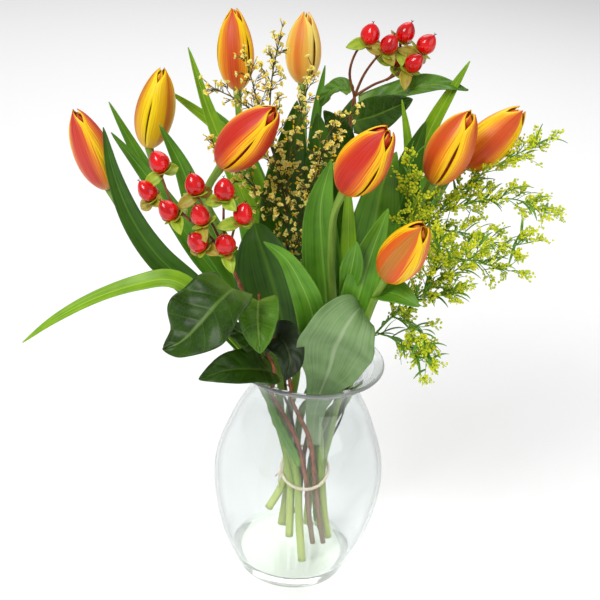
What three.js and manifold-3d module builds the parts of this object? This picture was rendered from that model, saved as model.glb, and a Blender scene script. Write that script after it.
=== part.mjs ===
// Tulips in a vase: a hand-tied mixed bouquet standing in a clear glass vase.
// Millimetres, +Z up. The origin is the centre of the vase's flat underside, and -Y is the front.

import * as THREE from 'three';
import { mergeVertices } from 'three/addons/utils/BufferGeometryUtils.js';
import Module from 'manifold-3d';

const wasm = await Module();
wasm.setup();

// ---------------------------------------------------------------- driving dimensions

const GAP = 0.4; // clearance kept between any two pieces

const vase = {
  height: 221,
  wall: 3,
  floor: 15,
  footRadius: 47,
  bellyRadius: 78.5,
  bellyHeight: 109,
  neckRadius: 47.5,
  neckBelowRim: 23,
  rimRadius: 68,
  footRound: 3,
  segments: 28,
  rows: 11,
};

const tie = { height: 104, x: 6, thickness: 2.6, tilt: 0.4, sides: 5, segments: 24 };

const stem = { diameter: 7.5, woodyDiameter: 5, fineDiameter: 3, sides: 6, steps: 12 };

// The stems pass the tie in one packed layer round a core, slant the same way round and spread
// again above and below it, as a spiral hand-tied bunch does.
const bundle = {
  ringSlots: 12,
  turnAbove: 51,
  turnBelow: 20,
  spreadBelow: 1.5,
  footHeight: 22,
  footShift: 6,
};

const bud = { rows: 7, sides: 10, fullness: 0.8 };
const leaf = { thickness: 1.2, along: 8, across: 2 };
const berry = { width: 16.5, length: 19, rows: 4, sides: 6, fullness: 0.85 };

const GREEN = 0x4a8a2a;
const DARK = 0x2f5218;
const PALE = 0x7f9a72;
const LIME = 0x8ab52a;

// ---------------------------------------------------------------- places

const rad = THREE.MathUtils.degToRad;
const rim = vase.height;
const neckHeight = vase.height - vase.neckBelowRim;
const pitch = stem.diameter + 2 * GAP;
const ringRadius = pitch / 2 / Math.sin(Math.PI / bundle.ringSlots) + GAP;
const coreRadius = ringRadius - pitch;
const neckRoom = vase.neckRadius - vase.wall - stem.diameter / 2 - 3 * GAP;
const spreadAbove = neckRoom / ringRadius;

/** A point given by x, y and its height above the vase's rim. */
const over = ([x, y, h]) => new THREE.Vector3(x, y, rim + h);

/** Where the stem in a slot (angle at the neck in degrees, radius at the tie) passes a height. */
function bundlePoint(angle, radius, z, lean = 1, hug = 1) {
  const above = z > tie.height;
  const reach = above ? neckHeight - tie.height : tie.height - bundle.footHeight;
  const part = (z - tie.height) / reach;
  const spread = above ? spreadAbove * hug : bundle.spreadBelow * lean;
  const r = radius * Math.sqrt(1 + (spread * spread - 1) * part * part);
  const turn = above ? bundle.turnAbove : bundle.turnBelow;
  const a = rad(angle + bundle.turnAbove - turn * part);
  const centre = above ? tie.x * (1 - part) : tie.x - bundle.footShift * part;
  return new THREE.Vector3(centre + r * Math.cos(a), r * Math.sin(a), z);
}

/** The part of a stem's route inside the vase, from its cut foot up to the neck. */
function insideRoute(angle, radius, foot, lean, hug) {
  const stops = [foot, (foot + tie.height) / 2, tie.height, (tie.height + neckHeight) / 2, neckHeight];
  return stops.map((z) => bundlePoint(angle, radius, z, lean, hug));
}

// ---------------------------------------------------------------- shapes

const polygon = (radius, sides) =>
  Array.from({ length: sides }, (_, i) => {
    const a = (2 * Math.PI * i) / sides;
    return new THREE.Vector2(radius * Math.cos(a), radius * Math.sin(a));
  });

const curveThrough = (points) => new THREE.CatmullRomCurve3(points, false, 'centripetal');

/** A round stem or twig along a smooth route. */
function tube(points, diameter, steps, sides) {
  const shape = new THREE.Shape(polygon(diameter / 2, sides));
  return new THREE.ExtrudeGeometry(shape, { steps, extrudePath: curveThrough(points) });
}

/** A solid of revolution from a profile of (radius, height) points, standing on +Z. */
function turned(profile, segments) {
  return new THREE.LatheGeometry(profile, segments).rotateX(Math.PI / 2);
}

/** A turned shape of unit length laid from one point towards another. */
function laid(geometry, from, to) {
  const axis = to.clone().sub(from);
  const turn = new THREE.Quaternion().setFromUnitVectors(new THREE.Vector3(0, 0, 1), axis.clone().normalize());
  return geometry.applyQuaternion(turn).translate(from.x, from.y, from.z);
}

/** The egg profile of a bud or a berry: full low down, drawn in towards the tip. */
function eggProfile(length, radius, rows, fullness) {
  return Array.from({ length: rows + 1 }, (_, i) => {
    const t = i / rows;
    const r = i === 0 || i === rows ? 0 : radius * Math.sin(Math.PI * t ** fullness) ** 0.62;
    return new THREE.Vector2(r, length * t);
  });
}

function egg(from, to, width, { rows, sides, fullness }, grow) {
  const axis = to.clone().sub(from);
  const length = axis.length();
  const start = from.clone().addScaledVector(axis, -grow / length);
  const profile = eggProfile(length + 2 * grow, width / 2 + grow, rows, fullness);
  return laid(turned(profile, sides), start, to);
}

/**
 * A leaf: a slab bent along a route, channelled along its midrib, narrow at its base, widest at the
 * belly and drawn to a point. The face vectors say where its upper side looks at base and tip.
 */
function blade(spec, grow) {
  const route = curveThrough(spec.route.map(over));
  const across = spec.across ?? leaf.across;
  const slab = new THREE.BoxGeometry(1, 1, 1, across, leaf.along, 1);
  const place = slab.attributes.position;
  const power = Math.log(0.43) / Math.log(spec.belly ?? 0.43);
  const base = spec.base ?? 0.12;
  const face0 = new THREE.Vector3(...(spec.face ?? [0, -1, 0.35]));
  const face1 = new THREE.Vector3(...(spec.faceTip ?? spec.face ?? [0, -1, 0.35]));
  for (let i = 0; i < place.count; i++) {
    const u = place.getY(i) + 0.5;
    const v = 2 * place.getX(i);
    const side = Math.sign(place.getZ(i));
    const tangent = route.getTangentAt(u);
    const face = face0.clone().lerp(face1, u);
    face.addScaledVector(tangent, -face.dot(tangent)).normalize();
    const across3 = tangent.clone().cross(face).normalize();
    const lift = Math.sin(Math.PI * (base + (1 - base) * u ** power));
    const half = (spec.width / 2) * Math.max(lift, 0) ** 0.8 + 0.5;
    const cup = (spec.fold ?? 0.35) * half * v * v;
    const thick = side * (leaf.thickness / 2 + 1.5 * grow);
    const at = route.getPointAt(u).addScaledVector(across3, v * (half + grow));
    at.addScaledVector(face, cup + thick);
    if (u === 0 || u === 1) at.addScaledVector(tangent, (u === 0 ? -1 : 1) * grow);
    place.setXYZ(i, at.x, at.y, at.z);
  }
  return slab;
}

// ---------------------------------------------------------------- solids

/** A closed geometry as a manifold solid, its outward side made positive. */
function toSolid(geometry, tolerance = 1e-4) {
  let plain = geometry.index ? geometry.toNonIndexed() : geometry.clone();
  plain.deleteAttribute('normal');
  plain.deleteAttribute('uv');
  plain = mergeVertices(plain, tolerance);
  const index = Array.from(plain.index.array);
  const spot = plain.attributes.position.array;
  const triangles = [];
  for (let i = 0; i < index.length; i += 3) {
    const [a, b, c] = index.slice(i, i + 3);
    if (a !== b && b !== c && c !== a) triangles.push(a, b, c);
  }
  const build = (list) => new wasm.Manifold(new wasm.Mesh({
    numProp: 3, vertProperties: new Float32Array(spot), triVerts: new Uint32Array(list),
  }));
  const solid = build(triangles);
  if (solid.volume() > 0) return solid;
  for (let i = 0; i < triangles.length; i += 3) {
    [triangles[i + 1], triangles[i + 2]] = [triangles[i + 2], triangles[i + 1]];
  }
  return build(triangles);
}

function joined(geometries) {
  return geometries.map((geometry) => toSolid(geometry)).reduce((whole, piece) => whole.add(piece));
}

const biggest = (solid) =>
  solid.decompose().reduce((best, body) => (body.volume() > best.volume() ? body : best));

function boxesMeet(a, b) {
  return [0, 1, 2].every((k) => a.min[k] <= b.max[k] && b.min[k] <= a.max[k]);
}

function toGeometry(solid) {
  const mesh = solid.getMesh();
  const geometry = new THREE.BufferGeometry();
  geometry.setAttribute('position', new THREE.BufferAttribute(new Float32Array(mesh.vertProperties), 3));
  geometry.setIndex(Array.from(mesh.triVerts));
  geometry.computeVertexNormals();
  return geometry;
}

/** The biggest body of a solid, read back once so that vertices closer than a micrometre become one. */
const largestBody = (solid) => biggest(toSolid(toGeometry(biggest(solid)), 1e-3));

// ---------------------------------------------------------------- vase and tie

/** The outside of the vase as (radius, height), from above the rounded foot up to the rim. */
function vaseOutline() {
  const neck = neckHeight;
  const through = [
    [vase.footRadius + 5, vase.footRound],
    [(vase.footRadius + 2 * vase.bellyRadius) / 3 + 2, vase.bellyHeight * 0.42],
    [vase.bellyRadius, vase.bellyHeight],
    [(vase.bellyRadius + vase.neckRadius) / 2 + 2, (vase.bellyHeight + neck) / 2 + 3],
    [vase.neckRadius, neck],
    [(vase.neckRadius + vase.rimRadius) / 2 - 2.5, neck + vase.neckBelowRim * 0.66],
    [vase.rimRadius, vase.height - vase.wall / 2],
  ];
  return new THREE.SplineCurve(through.map(([r, z]) => new THREE.Vector2(r, z)));
}

function vaseSolid(grow) {
  const outline = vaseOutline();
  const outer = [];
  const inner = [];
  for (let i = 0; i <= vase.rows; i++) {
    const at = outline.getPointAt(i / vase.rows);
    const along = outline.getTangentAt(i / vase.rows);
    const outward = new THREE.Vector2(along.y, -along.x);
    outer.push(at.clone().addScaledVector(outward, grow));
    const wallSide = at.clone().addScaledVector(outward, -vase.wall - grow);
    if (wallSide.y > vase.floor + grow + vase.wall) inner.unshift(wallSide);
  }
  const floorRadius = inner.at(-1).x - vase.wall;
  const lipRadius = (outer.at(-1).x + inner[0].x) / 2;
  const profile = [
    new THREE.Vector2(0, -grow),
    new THREE.Vector2(vase.footRadius, -grow),
    ...outer,
    new THREE.Vector2(lipRadius, vase.height + grow),
    ...inner,
    new THREE.Vector2(floorRadius, vase.floor + grow),
    new THREE.Vector2(0, vase.floor + grow),
  ];
  return toSolid(turned(profile, vase.segments));
}

function tieSolid(grow) {
  const radius = ringRadius + stem.diameter / 2 + GAP + tie.thickness / 2;
  const section = polygon(tie.thickness / 2 + grow, tie.sides).map((p) => new THREE.Vector2(radius + p.x, p.y));
  section.push(section[0].clone());
  const ring = turned(section, tie.segments);
  ring.scale(1, 1 / Math.cos(tie.tilt), 1).rotateX(tie.tilt).translate(tie.x, 0, tie.height);
  return toSolid(ring);
}

// ---------------------------------------------------------------- tulips

// One row for each tulip: its slot's angle at the neck, the foot's height over the vase floor, how
// far the foot leans out, how close it keeps in the neck, the stem's points above the rim, then the
// bud's base, tip and width.
const tulips = [
  { slot: 165, foot: 22, route: [[-50, 0, 14], [-98, -7, 46], [-136, -8, 84], [-161, -4, 114]],
    base: [-182, 0, 147], tip: [-209, -8, 215], width: 31 },
  { slot: 135, foot: 46, lean: 2.5, route: [[-80, 28, 40], [-122, 46, 92], [-148, 62, 134]],
    base: [-159, 70, 161], tip: [-148, 74, 233], width: 34 },
  { slot: 105, foot: 20, route: [[-46, 44, 56], [-68, 70, 128], [-80, 88, 186]],
    base: [-84, 95, 213], tip: [-92, 104, 284], width: 32 },
  { slot: 75, foot: 12, route: [[-10, 52, 64], [-18, 78, 140], [-24, 94, 200]],
    base: [-27, 99, 223], tip: [-29, 105, 286], width: 31 },
  { slot: 195, foot: 1, route: [[-50, -24, 48], [-78, -34, 116], [-95, -42, 166]],
    base: [-84, -45, 193], tip: [-43, -60, 249], width: 37 },
  { slot: 285, foot: 14, hug: 0.75, route: [[17, -52, 60], [10, -60, 130], [9, -67, 170]],
    base: [15, -71, 191], tip: [43, -92, 251], width: 38 },
  { slot: 345, foot: 10, route: [[43, -19, 54], [64, -22, 124], [80, -22, 168]],
    base: [88, -22, 186], tip: [110, -30, 251], width: 36 },
  { slot: 15, foot: 8, route: [[44, 16, 48], [72, 20, 116], [98, 17, 166]],
    base: [116, 15, 188], tip: [157, 15, 242], width: 35 },
  { slot: 315, foot: 16, route: [[30, -52, 24], [40, -76, 68], [47, -90, 108]],
    base: [54, -97, 132], tip: [75, -126, 190], width: 34 },
];

function tulipStem(tulip, grow) {
  const foot = vase.floor + tulip.foot;
  const inside = insideRoute(tulip.slot, ringRadius, foot, tulip.lean, tulip.hug);
  const base = over(tulip.base);
  const axis = over(tulip.tip).sub(base).normalize();
  const top = base.clone().addScaledVector(axis, -GAP);
  const route = [...inside, ...tulip.route.map(over), top];
  return toSolid(tube(route, stem.diameter + 2 * grow, stem.steps, stem.sides));
}

function tulipBloom(tulip, grow) {
  return toSolid(egg(over(tulip.base), over(tulip.tip), tulip.width, bud, grow));
}

// ---------------------------------------------------------------- hypericum

const twig = (points, diameter) => tube(points.map(over), diameter, 3, 5);

const hypericumSprays = {
  hypericum_spray_left: {
    slot: 225, foot: 19,
    stem: [[-29, -48, 12], [-41, -60, 43], [-52, -70, 77], [-61, -78, 104], [-70, -83, 125]],
    twigs: [
      [[-70, -83, 125], [-84, -83, 144], [-103, -81, 158]],
      [[-103, -81, 158], [-118, -78, 170], [-129, -72, 192]],
      [[-112, -80, 165], [-126, -77, 168], [-134, -75, 172]],
      [[-70, -83, 125], [-82, -82, 150], [-99, -77, 178]],
      [[-74, -83, 135], [-77, -81, 158], [-78, -80, 178]],
      [[-72, -83, 128], [-70, -83, 146], [-67, -82, 162]],
    ],
    berries: [
      [-131, -70, 201], [-139, -75, 178], [-121, -84, 167], [-102, -75, 187], [-78, -80, 187],
      [-95, -92, 169], [-62, -82, 169], [-96, -97, 148], [-74, -96, 148],
    ],
  },
  hypericum_spray_right: {
    slot: 45, foot: 21,
    stem: [[6, 26, 69], [11, 33, 145], [17, 41, 200], [19, 44, 232]],
    twigs: [
      [[19, 44, 232], [13, 42, 252], [17, 40, 272], [26, 38, 284]],
      [[19, 44, 232], [25, 41, 252], [33, 36, 268], [40, 32, 278]],
      [[19, 44, 232], [34, 42, 244], [47, 38, 253], [52, 38, 266]],
      [[44, 39, 250], [56, 34, 260], [66, 34, 268]],
    ],
    berries: [
      [27, 38, 288], [43, 30, 283], [56, 42, 291], [74, 38, 284], [52, 44, 270], [65, 28, 270],
    ],
  },
};

function hypericumSpray(spray, grow) {
  const woody = stem.woodyDiameter + 2 * grow;
  const route = [...insideRoute(spray.slot, ringRadius, vase.floor + spray.foot), ...spray.stem.map(over)];
  const parts = [tube(route, woody, stem.steps, stem.sides)];
  for (const points of spray.twigs) parts.push(twig(points, stem.fineDiameter + 2 * grow));
  const heart = new THREE.Vector3(...spray.stem.at(-1));
  for (const place of spray.berries) {
    const centre = over(place);
    const outward = new THREE.Vector3(...place).sub(heart).normalize();
    outward.add(new THREE.Vector3(0, -0.25, 0.45)).normalize();
    const from = centre.clone().addScaledVector(outward, -berry.length / 2);
    const to = centre.clone().addScaledVector(outward, berry.length / 2);
    parts.push(egg(from, to, berry.width, berry, grow));
    const nearest = nearestPoint(spray.twigs, from);
    parts.push(tube([nearest, from.clone().lerp(centre, 0.3)], 2 + 2 * grow, 1, 4));
  }
  return largestBody(joined(parts));
}

/** The twig point that a berry's own stalk grows from. */
function nearestPoint(twigs, from) {
  const points = twigs.flat().map(over);
  return points.reduce((best, p) => (p.distanceTo(from) < best.distanceTo(from) ? p : best));
}

const shortStem = {
  slot: 255, foot: 15, stem: [[-15, -46, 2], [-32, -54, 45], [-44, -60, 78], [-46, -62, 90]],
};

// ---------------------------------------------------------------- filler sprays

// Each spray is a set of branches; fine side twigs leave every branch by turns, each with a floret.
const fillers = {
  limonium_spray: {
    slot: 180, foot: 34, colour: 0xe9dc8a, floret: 4, twigLength: 16, every: 25, bareStem: 70,
    branches: [
      [[-19, -8, 34], [-25, -10, 90], [-29, -8, 135]],
      [[-29, -8, 135], [-44, -18, 152], [-62, -22, 172], [-92, -16, 198]],
      [[-29, -8, 135], [-38, -2, 172], [-56, 8, 216], [-72, 14, 262]],
      [[-38, -2, 172], [-48, 2, 206], [-51, 12, 245], [-47, 20, 284]],
      [[-29, -8, 135], [-32, 0, 186], [-25, 6, 222], [-20, 11, 254]],
      [[-25, -10, 90], [-15, -24, 140], [-8, -26, 178], [-1, -12, 214], [14, -6, 230]],
      [[-56, 8, 216], [-76, 15, 228], [-98, 18, 236]],
      [[-15, -24, 140], [-11, -14, 182], [4, -14, 206]],
    ],
  },
  goldenrod_spray_upper: {
    slot: 0, foot: 30, colour: 0xd0cc2a, floret: 4.5, twigLength: 14, every: 24, bareStem: 60,
    branches: [
      [[42, 4, 50], [66, 2, 104], [96, 2, 148], [128, 4, 184], [152, 8, 202], [174, 8, 216]],
      [[66, 2, 104], [80, -38, 140], [72, -46, 168], [66, -46, 204]],
      [[96, 2, 148], [130, 0, 164], [160, -4, 170], [186, -8, 162]],
      [[80, 2, 126], [104, -4, 136], [130, -8, 136], [156, -12, 130], [172, -16, 136]],
      [[80, 2, 126], [106, -12, 118], [134, -18, 116], [160, -20, 112]],
    ],
  },
  goldenrod_spray_lower: {
    slot: 300, foot: 28, colour: 0xd0cc2a, floret: 4.5, twigLength: 13, every: 22, bareStem: 36,
    branches: [
      [[45, -42, 37], [66, -54, 76], [89, -62, 104], [111, -62, 126], [130, -58, 146]],
      [[66, -54, 76], [80, -70, 78], [94, -80, 70], [96, -84, 48]],
      [[56, -48, 56], [74, -66, 60], [88, -74, 52]],
      [[89, -62, 104], [102, -72, 108], [114, -76, 114]],
      [[89, -62, 104], [94, -72, 136], [94, -76, 160]],
    ],
  },
};

function fillerSpray(spray, grow) {
  const main = stem.fineDiameter + 2 * grow;
  const entry = insideRoute(spray.slot, coreRadius, vase.floor + spray.foot);
  const parts = [tube([...entry, over(spray.branches[0][0])], main, 8, 5)];
  const heart = over(spray.branches[0][0]);
  for (const branch of spray.branches) {
    const curve = curveThrough(branch.map(over));
    parts.push(tube(branch.map(over), 2 + 2 * grow, 2 * branch.length - 2, 4));
    const count = Math.max(2, Math.round(curve.getLength() / spray.every));
    for (let i = 1; i <= count; i++) {
      const at = curve.getPointAt(i / count);
      if (at.distanceTo(heart) < spray.bareStem) continue;
      const along = curve.getTangentAt(i / count);
      const turn = i * 2.4;
      const side = new THREE.Vector3(Math.cos(turn), Math.sin(turn), 0.3).normalize();
      const tip = at.clone().addScaledVector(along, spray.twigLength * 0.6);
      tip.addScaledVector(side, i === count ? 0 : spray.twigLength * 0.8);
      parts.push(tube([at, tip], 1.4 + 2 * grow, 1, 3));
      const head = new THREE.OctahedronGeometry(spray.floret + grow, 0);
      parts.push(head.translate(tip.x, tip.y, tip.z));
    }
  }
  return largestBody(joined(parts));
}

// ---------------------------------------------------------------- leaves

// Routes run from the leaf's base to its tip, as x, y and height above the rim.
const tulipLeaves = {
  tulip_leaf_front_broad: { width: 62, belly: 0.72, fold: 0.25, across: 4, colour: PALE, base: 0.04,
    route: [[12, -19, -80], [10, -27, -50], [11, -36, -23], [15, -47, 2], [18, -64, 27], [20, -83, 57],
      [23, -97, 75], [26, -100, 86], [32, -94, 95], [38, -78, 95]] },
  tulip_leaf_left_long: { width: 22, colour: DARK, face: [0.5, -1, 0.3],
    route: [[-42, -26, 0], [-69, -24, 32], [-104, -24, 71], [-136, -22, 98], [-158, -20, 128],
      [-174, -20, 167], [-183, -22, 208]] },
  tulip_leaf_drooping: { width: 17, colour: LIME, face: [0.2, -0.6, 0.8], fold: 0.3,
    route: [[-28, -24, -16], [-64, -34, 32], [-96, -36, 68], [-122, -38, 84], [-150, -40, 78],
      [-186, -42, 62], [-220, -46, 40], [-246, -50, 18]] },
  tulip_leaf_left_inner: { width: 24, colour: GREEN, face: [0.4, -1, 0.2],
    route: [[-32, -12, 22], [-50, -12, 54], [-78, -10, 94], [-103, -8, 134], [-121, -8, 177], [-139, -10, 210]] },
  tulip_leaf_left_middle: { width: 18, colour: GREEN, face: [0.4, -1, 0.3],
    route: [[-46, 4, 30], [-62, 6, 48], [-97, 6, 83], [-129, 6, 129], [-157, 6, 166], [-181, 4, 195]] },
  tulip_leaf_left_back: { width: 14, colour: GREEN, face: [0.5, -1, 0],
    route: [[-70, 36, 40], [-100, 36, 68], [-138, 34, 126], [-169, 32, 178], [-188, 32, 212]] },
  tulip_leaf_upper_left: { width: 15, colour: LIME, face: [0.6, -1, 0],
    route: [[-32, 28, 44], [-52, 38, 95], [-80, 50, 150], [-106, 60, 203], [-126, 64, 256]] },
  tulip_leaf_back_rolled: { width: 16, colour: PALE, face: [0.3, -1, 0.5], fold: 0.7,
    route: [[-34, 62, 48], [-46, 72, 80], [-66, 88, 134], [-94, 101, 168], [-124, 106, 188], [-147, 108, 202]] },
  tulip_leaf_front_left: { width: 25, colour: PALE, face: [-0.2, -1, 0.4],
    route: [[2, -52, 20], [4, -72, 54], [-2, -85, 90], [-13, -94, 119], [-27, -99, 142], [-44, -100, 154]] },
  tulip_leaf_front_right: { width: 27, colour: GREEN, face: [-0.2, -1, 0.2],
    route: [[26, -60, 64], [33, -76, 92], [37, -82, 120], [42, -84, 150], [50, -84, 184]] },
  tulip_leaf_front_curled: { width: 18, colour: GREEN, face: [0, -1, 0.1], belly: 0.6,
    route: [[24, -68, 96], [26, -80, 120], [27, -90, 142], [28, -93, 158]] },
  tulip_leaf_front_low: { width: 24, colour: GREEN, face: [-0.2, -0.6, 1],
    route: [[49, -72, 104], [56, -88, 114], [66, -102, 119], [81, -112, 116]] },
  tulip_leaf_centre_dark: { width: 58, colour: DARK, face: [-0.3, -1, 0.3], across: 4, belly: 0.6,
    route: [[-12, -28, 10], [-22, -38, 44], [-33, -44, 84], [-43, -44, 112], [-51, -38, 130], [-55, -28, 138]] },
  tulip_leaf_centre_tall: { width: 32, colour: GREEN, face: [-0.1, -1, 0.1],
    route: [[12, -36, 46], [10, -44, 80], [2, -47, 130], [-2, -50, 170], [3, -52, 208]] },
  tulip_leaf_centre_slim: { width: 13, colour: LIME, face: [0.1, -1, 0],
    route: [[26, -44, 70], [24, -50, 124], [21, -50, 160], [18, -50, 190]] },
  tulip_leaf_inner_left: { width: 38, colour: DARK, face: [0, -1, 0.1],
    route: [[-16, 12, 60], [-32, 20, 100], [-34, 26, 140], [-31, 30, 182], [-29, 30, 228]] },
  tulip_leaf_inner_right: { width: 40, colour: DARK, face: [0.2, -1, 0.1],
    route: [[4, 6, 64], [7, 8, 108], [1, 12, 152], [-5, 14, 186], [-11, 16, 224]] },
  tulip_leaf_top_slim: { width: 11, colour: GREEN, face: [0.2, -1, 0],
    route: [[-6, 54, 90], [-11, 66, 140], [-12, 80, 200], [-8, 84, 245]] },
  tulip_leaf_right_broad: { width: 44, colour: GREEN, face: [0.1, -1, 0.2], across: 4,
    route: [[28, -22, 66], [40, -36, 110], [43, -40, 152], [46, -42, 188], [54, -42, 216]] },
  tulip_leaf_right_slim: { width: 11, colour: LIME, face: [-0.4, -1, 0],
    route: [[52, 18, 80], [66, 14, 130], [72, 12, 172], [67, 12, 206], [57, 10, 243]] },
  tulip_leaf_right_middle: { width: 30, colour: DARK, face: [-0.3, -1, 0.1],
    route: [[44, -6, 66], [58, -6, 116], [65, -4, 154], [70, 0, 193], [78, 2, 229]] },
  tulip_leaf_right_tall: { width: 17, colour: LIME, face: [-0.5, -1, 0.1],
    route: [[46, 28, 70], [64, 30, 110], [74, 32, 160], [86, 32, 214], [98, 30, 246], [110, 28, 275]] },
  tulip_leaf_back_left: { width: 38, colour: GREEN, face: [-0.5, 1, 0.3],
    route: [[-24, 34, 10], [-44, 66, 60], [-64, 92, 118], [-88, 112, 160], [-112, 122, 186]] },
  tulip_leaf_back_middle: { width: 42, colour: DARK, face: [0, 1, 0.3], across: 4,
    route: [[4, 34, 8], [8, 70, 60], [8, 94, 120], [12, 108, 172], [22, 116, 210]] },
  tulip_leaf_back_right: { width: 38, colour: GREEN, face: [0.5, 1, 0.3],
    route: [[24, 30, 12], [50, 54, 60], [76, 68, 110], [102, 74, 152], [124, 72, 180]] },
};

const hypericumLeaves = {
  hypericum_leaf_front_large: { width: 58, colour: DARK, face: [-0.3, -0.7, 0.6], across: 4, base: 0.2, fold: 0.2,
    route: [[-66, -84, 104], [-76, -98, 98], [-89, -109, 83], [-103, -115, 68], [-117, -116, 60]] },
  hypericum_leaf_front_low: { width: 36, colour: DARK, face: [0, -0.6, 0.8], across: 4, base: 0.2, fold: 0.2,
    route: [[-30, -60, 16], [-46, -84, 31], [-66, -102, 38], [-88, -110, 32]] },
  hypericum_leaf_front_folded: { width: 34, colour: LIME, face: [0, -0.7, 0.8], across: 4, base: 0.25, fold: 0.4,
    route: [[-46, -70, 88], [-45, -86, 84], [-43, -100, 75], [-40, -108, 60]] },
  hypericum_leaf_front_narrow: { width: 22, colour: DARK, face: [0.3, -1, 0.4], base: 0.2,
    route: [[-38, -58, 32], [-49, -72, 52], [-62, -84, 66], [-77, -90, 72]] },
  hypericum_leaf_front_dark: { width: 30, colour: 0x20301c, face: [0.2, -1, 0.5], base: 0.25, across: 4,
    route: [[-30, -64, 52], [-22, -82, 58], [-16, -96, 50], [-18, -102, 34]] },
  hypericum_leaf_top_long: { width: 23, colour: GREEN, face: [-0.2, -0.5, 1], base: 0.15,
    route: [[23, 42, 228], [38, 38, 233], [60, 32, 244], [86, 30, 252], [112, 28, 250]] },
  hypericum_leaf_top_broad: { width: 30, colour: DARK, face: [-0.2, -1, 0.4], base: 0.2, across: 4,
    route: [[21, 38, 212], [36, 28, 221], [51, 20, 232], [66, 14, 243]] },
  hypericum_leaf_top_small: { width: 15, colour: GREEN, face: [0, -0.6, 1], base: 0.2,
    route: [[15, 46, 234], [8, 49, 238], [-3, 51, 231], [-9, 51, 218]] },
  hypericum_leaf_top_dark: { width: 22, colour: DARK, face: [0, -1, 0.3], base: 0.2,
    route: [[14, 30, 184], [10, 25, 202], [3, 20, 215], [-6, 16, 226]] },
};

// ---------------------------------------------------------------- assembly

// In this order: a later piece gives way to every earlier one that it would meet.
const pieces = [
  { name: 'glass_vase', colour: 0xdfe6df, roughness: 0.05, make: vaseSolid },
  { name: 'twine_tie', colour: 0xe0cdb0, roughness: 0.9, make: tieSolid },
  ...tulips.map((tulip, i) => ({
    name: `tulip_stem_${i + 1}`, colour: 0x7fb04a, roughness: 0.5, make: (grow) => tulipStem(tulip, grow),
  })),
  ...tulips.map((tulip, i) => ({
    name: `tulip_bloom_${i + 1}`, colour: 0xe0642c, roughness: 0.5, make: (grow) => tulipBloom(tulip, grow),
  })),
  ...Object.entries(hypericumSprays).map(([name, spray]) => ({
    name, colour: 0xc81018, roughness: 0.3, make: (grow) => hypericumSpray(spray, grow),
  })),
  {
    name: 'hypericum_stem_short', colour: 0x8a4a32, roughness: 0.7,
    make: (grow) => toSolid(tube(
      [...insideRoute(shortStem.slot, ringRadius, vase.floor + shortStem.foot), ...shortStem.stem.map(over)],
      stem.woodyDiameter + 2 * grow, stem.steps, stem.sides,
    )),
  },
  ...Object.entries(fillers).map(([name, spray]) => ({
    name, colour: spray.colour, roughness: 0.8, make: (grow) => fillerSpray(spray, grow),
  })),
  ...Object.entries({ ...hypericumLeaves, ...tulipLeaves }).map(([name, spec]) => ({
    name, colour: spec.colour, roughness: 0.45, make: (grow) => toSolid(blade(spec, grow)),
  })),
];

const bouquet = new THREE.Group();
const placed = [];
for (const { name, colour, roughness, make } of pieces) {
  let solid = make(0);
  const box = solid.boundingBox();
  for (const other of placed) {
    if (boxesMeet(box, other.box)) solid = solid.subtract(other.grown);
  }
  solid = largestBody(solid);
  const grown = make(GAP);
  placed.push({ grown, box: grown.boundingBox() });
  const mesh = new THREE.Mesh(
    toGeometry(solid),
    new THREE.MeshStandardMaterial({ color: colour, roughness, metalness: 0 }),
  );
  mesh.name = name;
  bouquet.add(mesh);
}

export default bouquet;
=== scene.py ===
"""Tulips in a vase: the looks of a hand-tied mixed bouquet standing in a clear glass vase.

Lengths are metres in Blender and millimetres in the tables, in the same frame as the CAD model:
+Z up, the origin under the middle of the vase, -Y the bouquet's front.
"""

import logging
import math
import random
from collections.abc import Callable, Iterable, Sequence
from dataclasses import dataclass
from enum import Enum
from typing import ClassVar

import bmesh
import bpy
from mathutils import Matrix, Vector


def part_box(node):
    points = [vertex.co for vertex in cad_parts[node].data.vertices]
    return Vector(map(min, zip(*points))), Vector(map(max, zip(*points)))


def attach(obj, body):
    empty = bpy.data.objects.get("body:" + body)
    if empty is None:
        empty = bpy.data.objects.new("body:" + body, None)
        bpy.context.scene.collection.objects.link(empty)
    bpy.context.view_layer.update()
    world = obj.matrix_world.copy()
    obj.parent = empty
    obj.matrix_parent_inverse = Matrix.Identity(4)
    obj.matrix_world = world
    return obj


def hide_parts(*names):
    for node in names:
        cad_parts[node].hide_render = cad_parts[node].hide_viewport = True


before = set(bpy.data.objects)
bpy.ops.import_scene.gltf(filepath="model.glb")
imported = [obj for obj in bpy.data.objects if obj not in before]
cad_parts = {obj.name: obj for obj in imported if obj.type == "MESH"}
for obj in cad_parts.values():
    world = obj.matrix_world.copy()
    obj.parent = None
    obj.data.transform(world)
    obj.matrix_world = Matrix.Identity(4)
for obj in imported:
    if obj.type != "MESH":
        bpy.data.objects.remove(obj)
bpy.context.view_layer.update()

LOG = logging.getLogger("tulips")
MM = 0.001
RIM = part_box("glass_vase")[1].z
UP = Vector((0, 0, 1))
COLOUR_MIX = {"data_type": "RGBA"}
MIX_A, MIX_B, MIX_OUT = 6, 7, 2
SMOOTH = {"interpolation_type": "SMOOTHSTEP"}
TIMES, TIMES_PLUS = {"operation": "MULTIPLY"}, {"operation": "MULTIPLY_ADD"}

Point = tuple[float, float, float]
Colour = bpy.types.NodeSocket | tuple[float, float, float, float]


def over(place: Point) -> Vector:
    """A point given in mm by x, y and its height above the vase's rim, as metres."""
    return Vector((place[0] * MM, place[1] * MM, RIM + place[2] * MM))


def ease(low: float, high: float, value: float) -> float:
    """A smooth step of value from 0 at low to 1 at high."""
    t = min(max((value - low) / (high - low), 0.0), 1.0)
    return t * t * (3 - 2 * t)


# ------------------------------------------------------------------------------ materials


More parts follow.
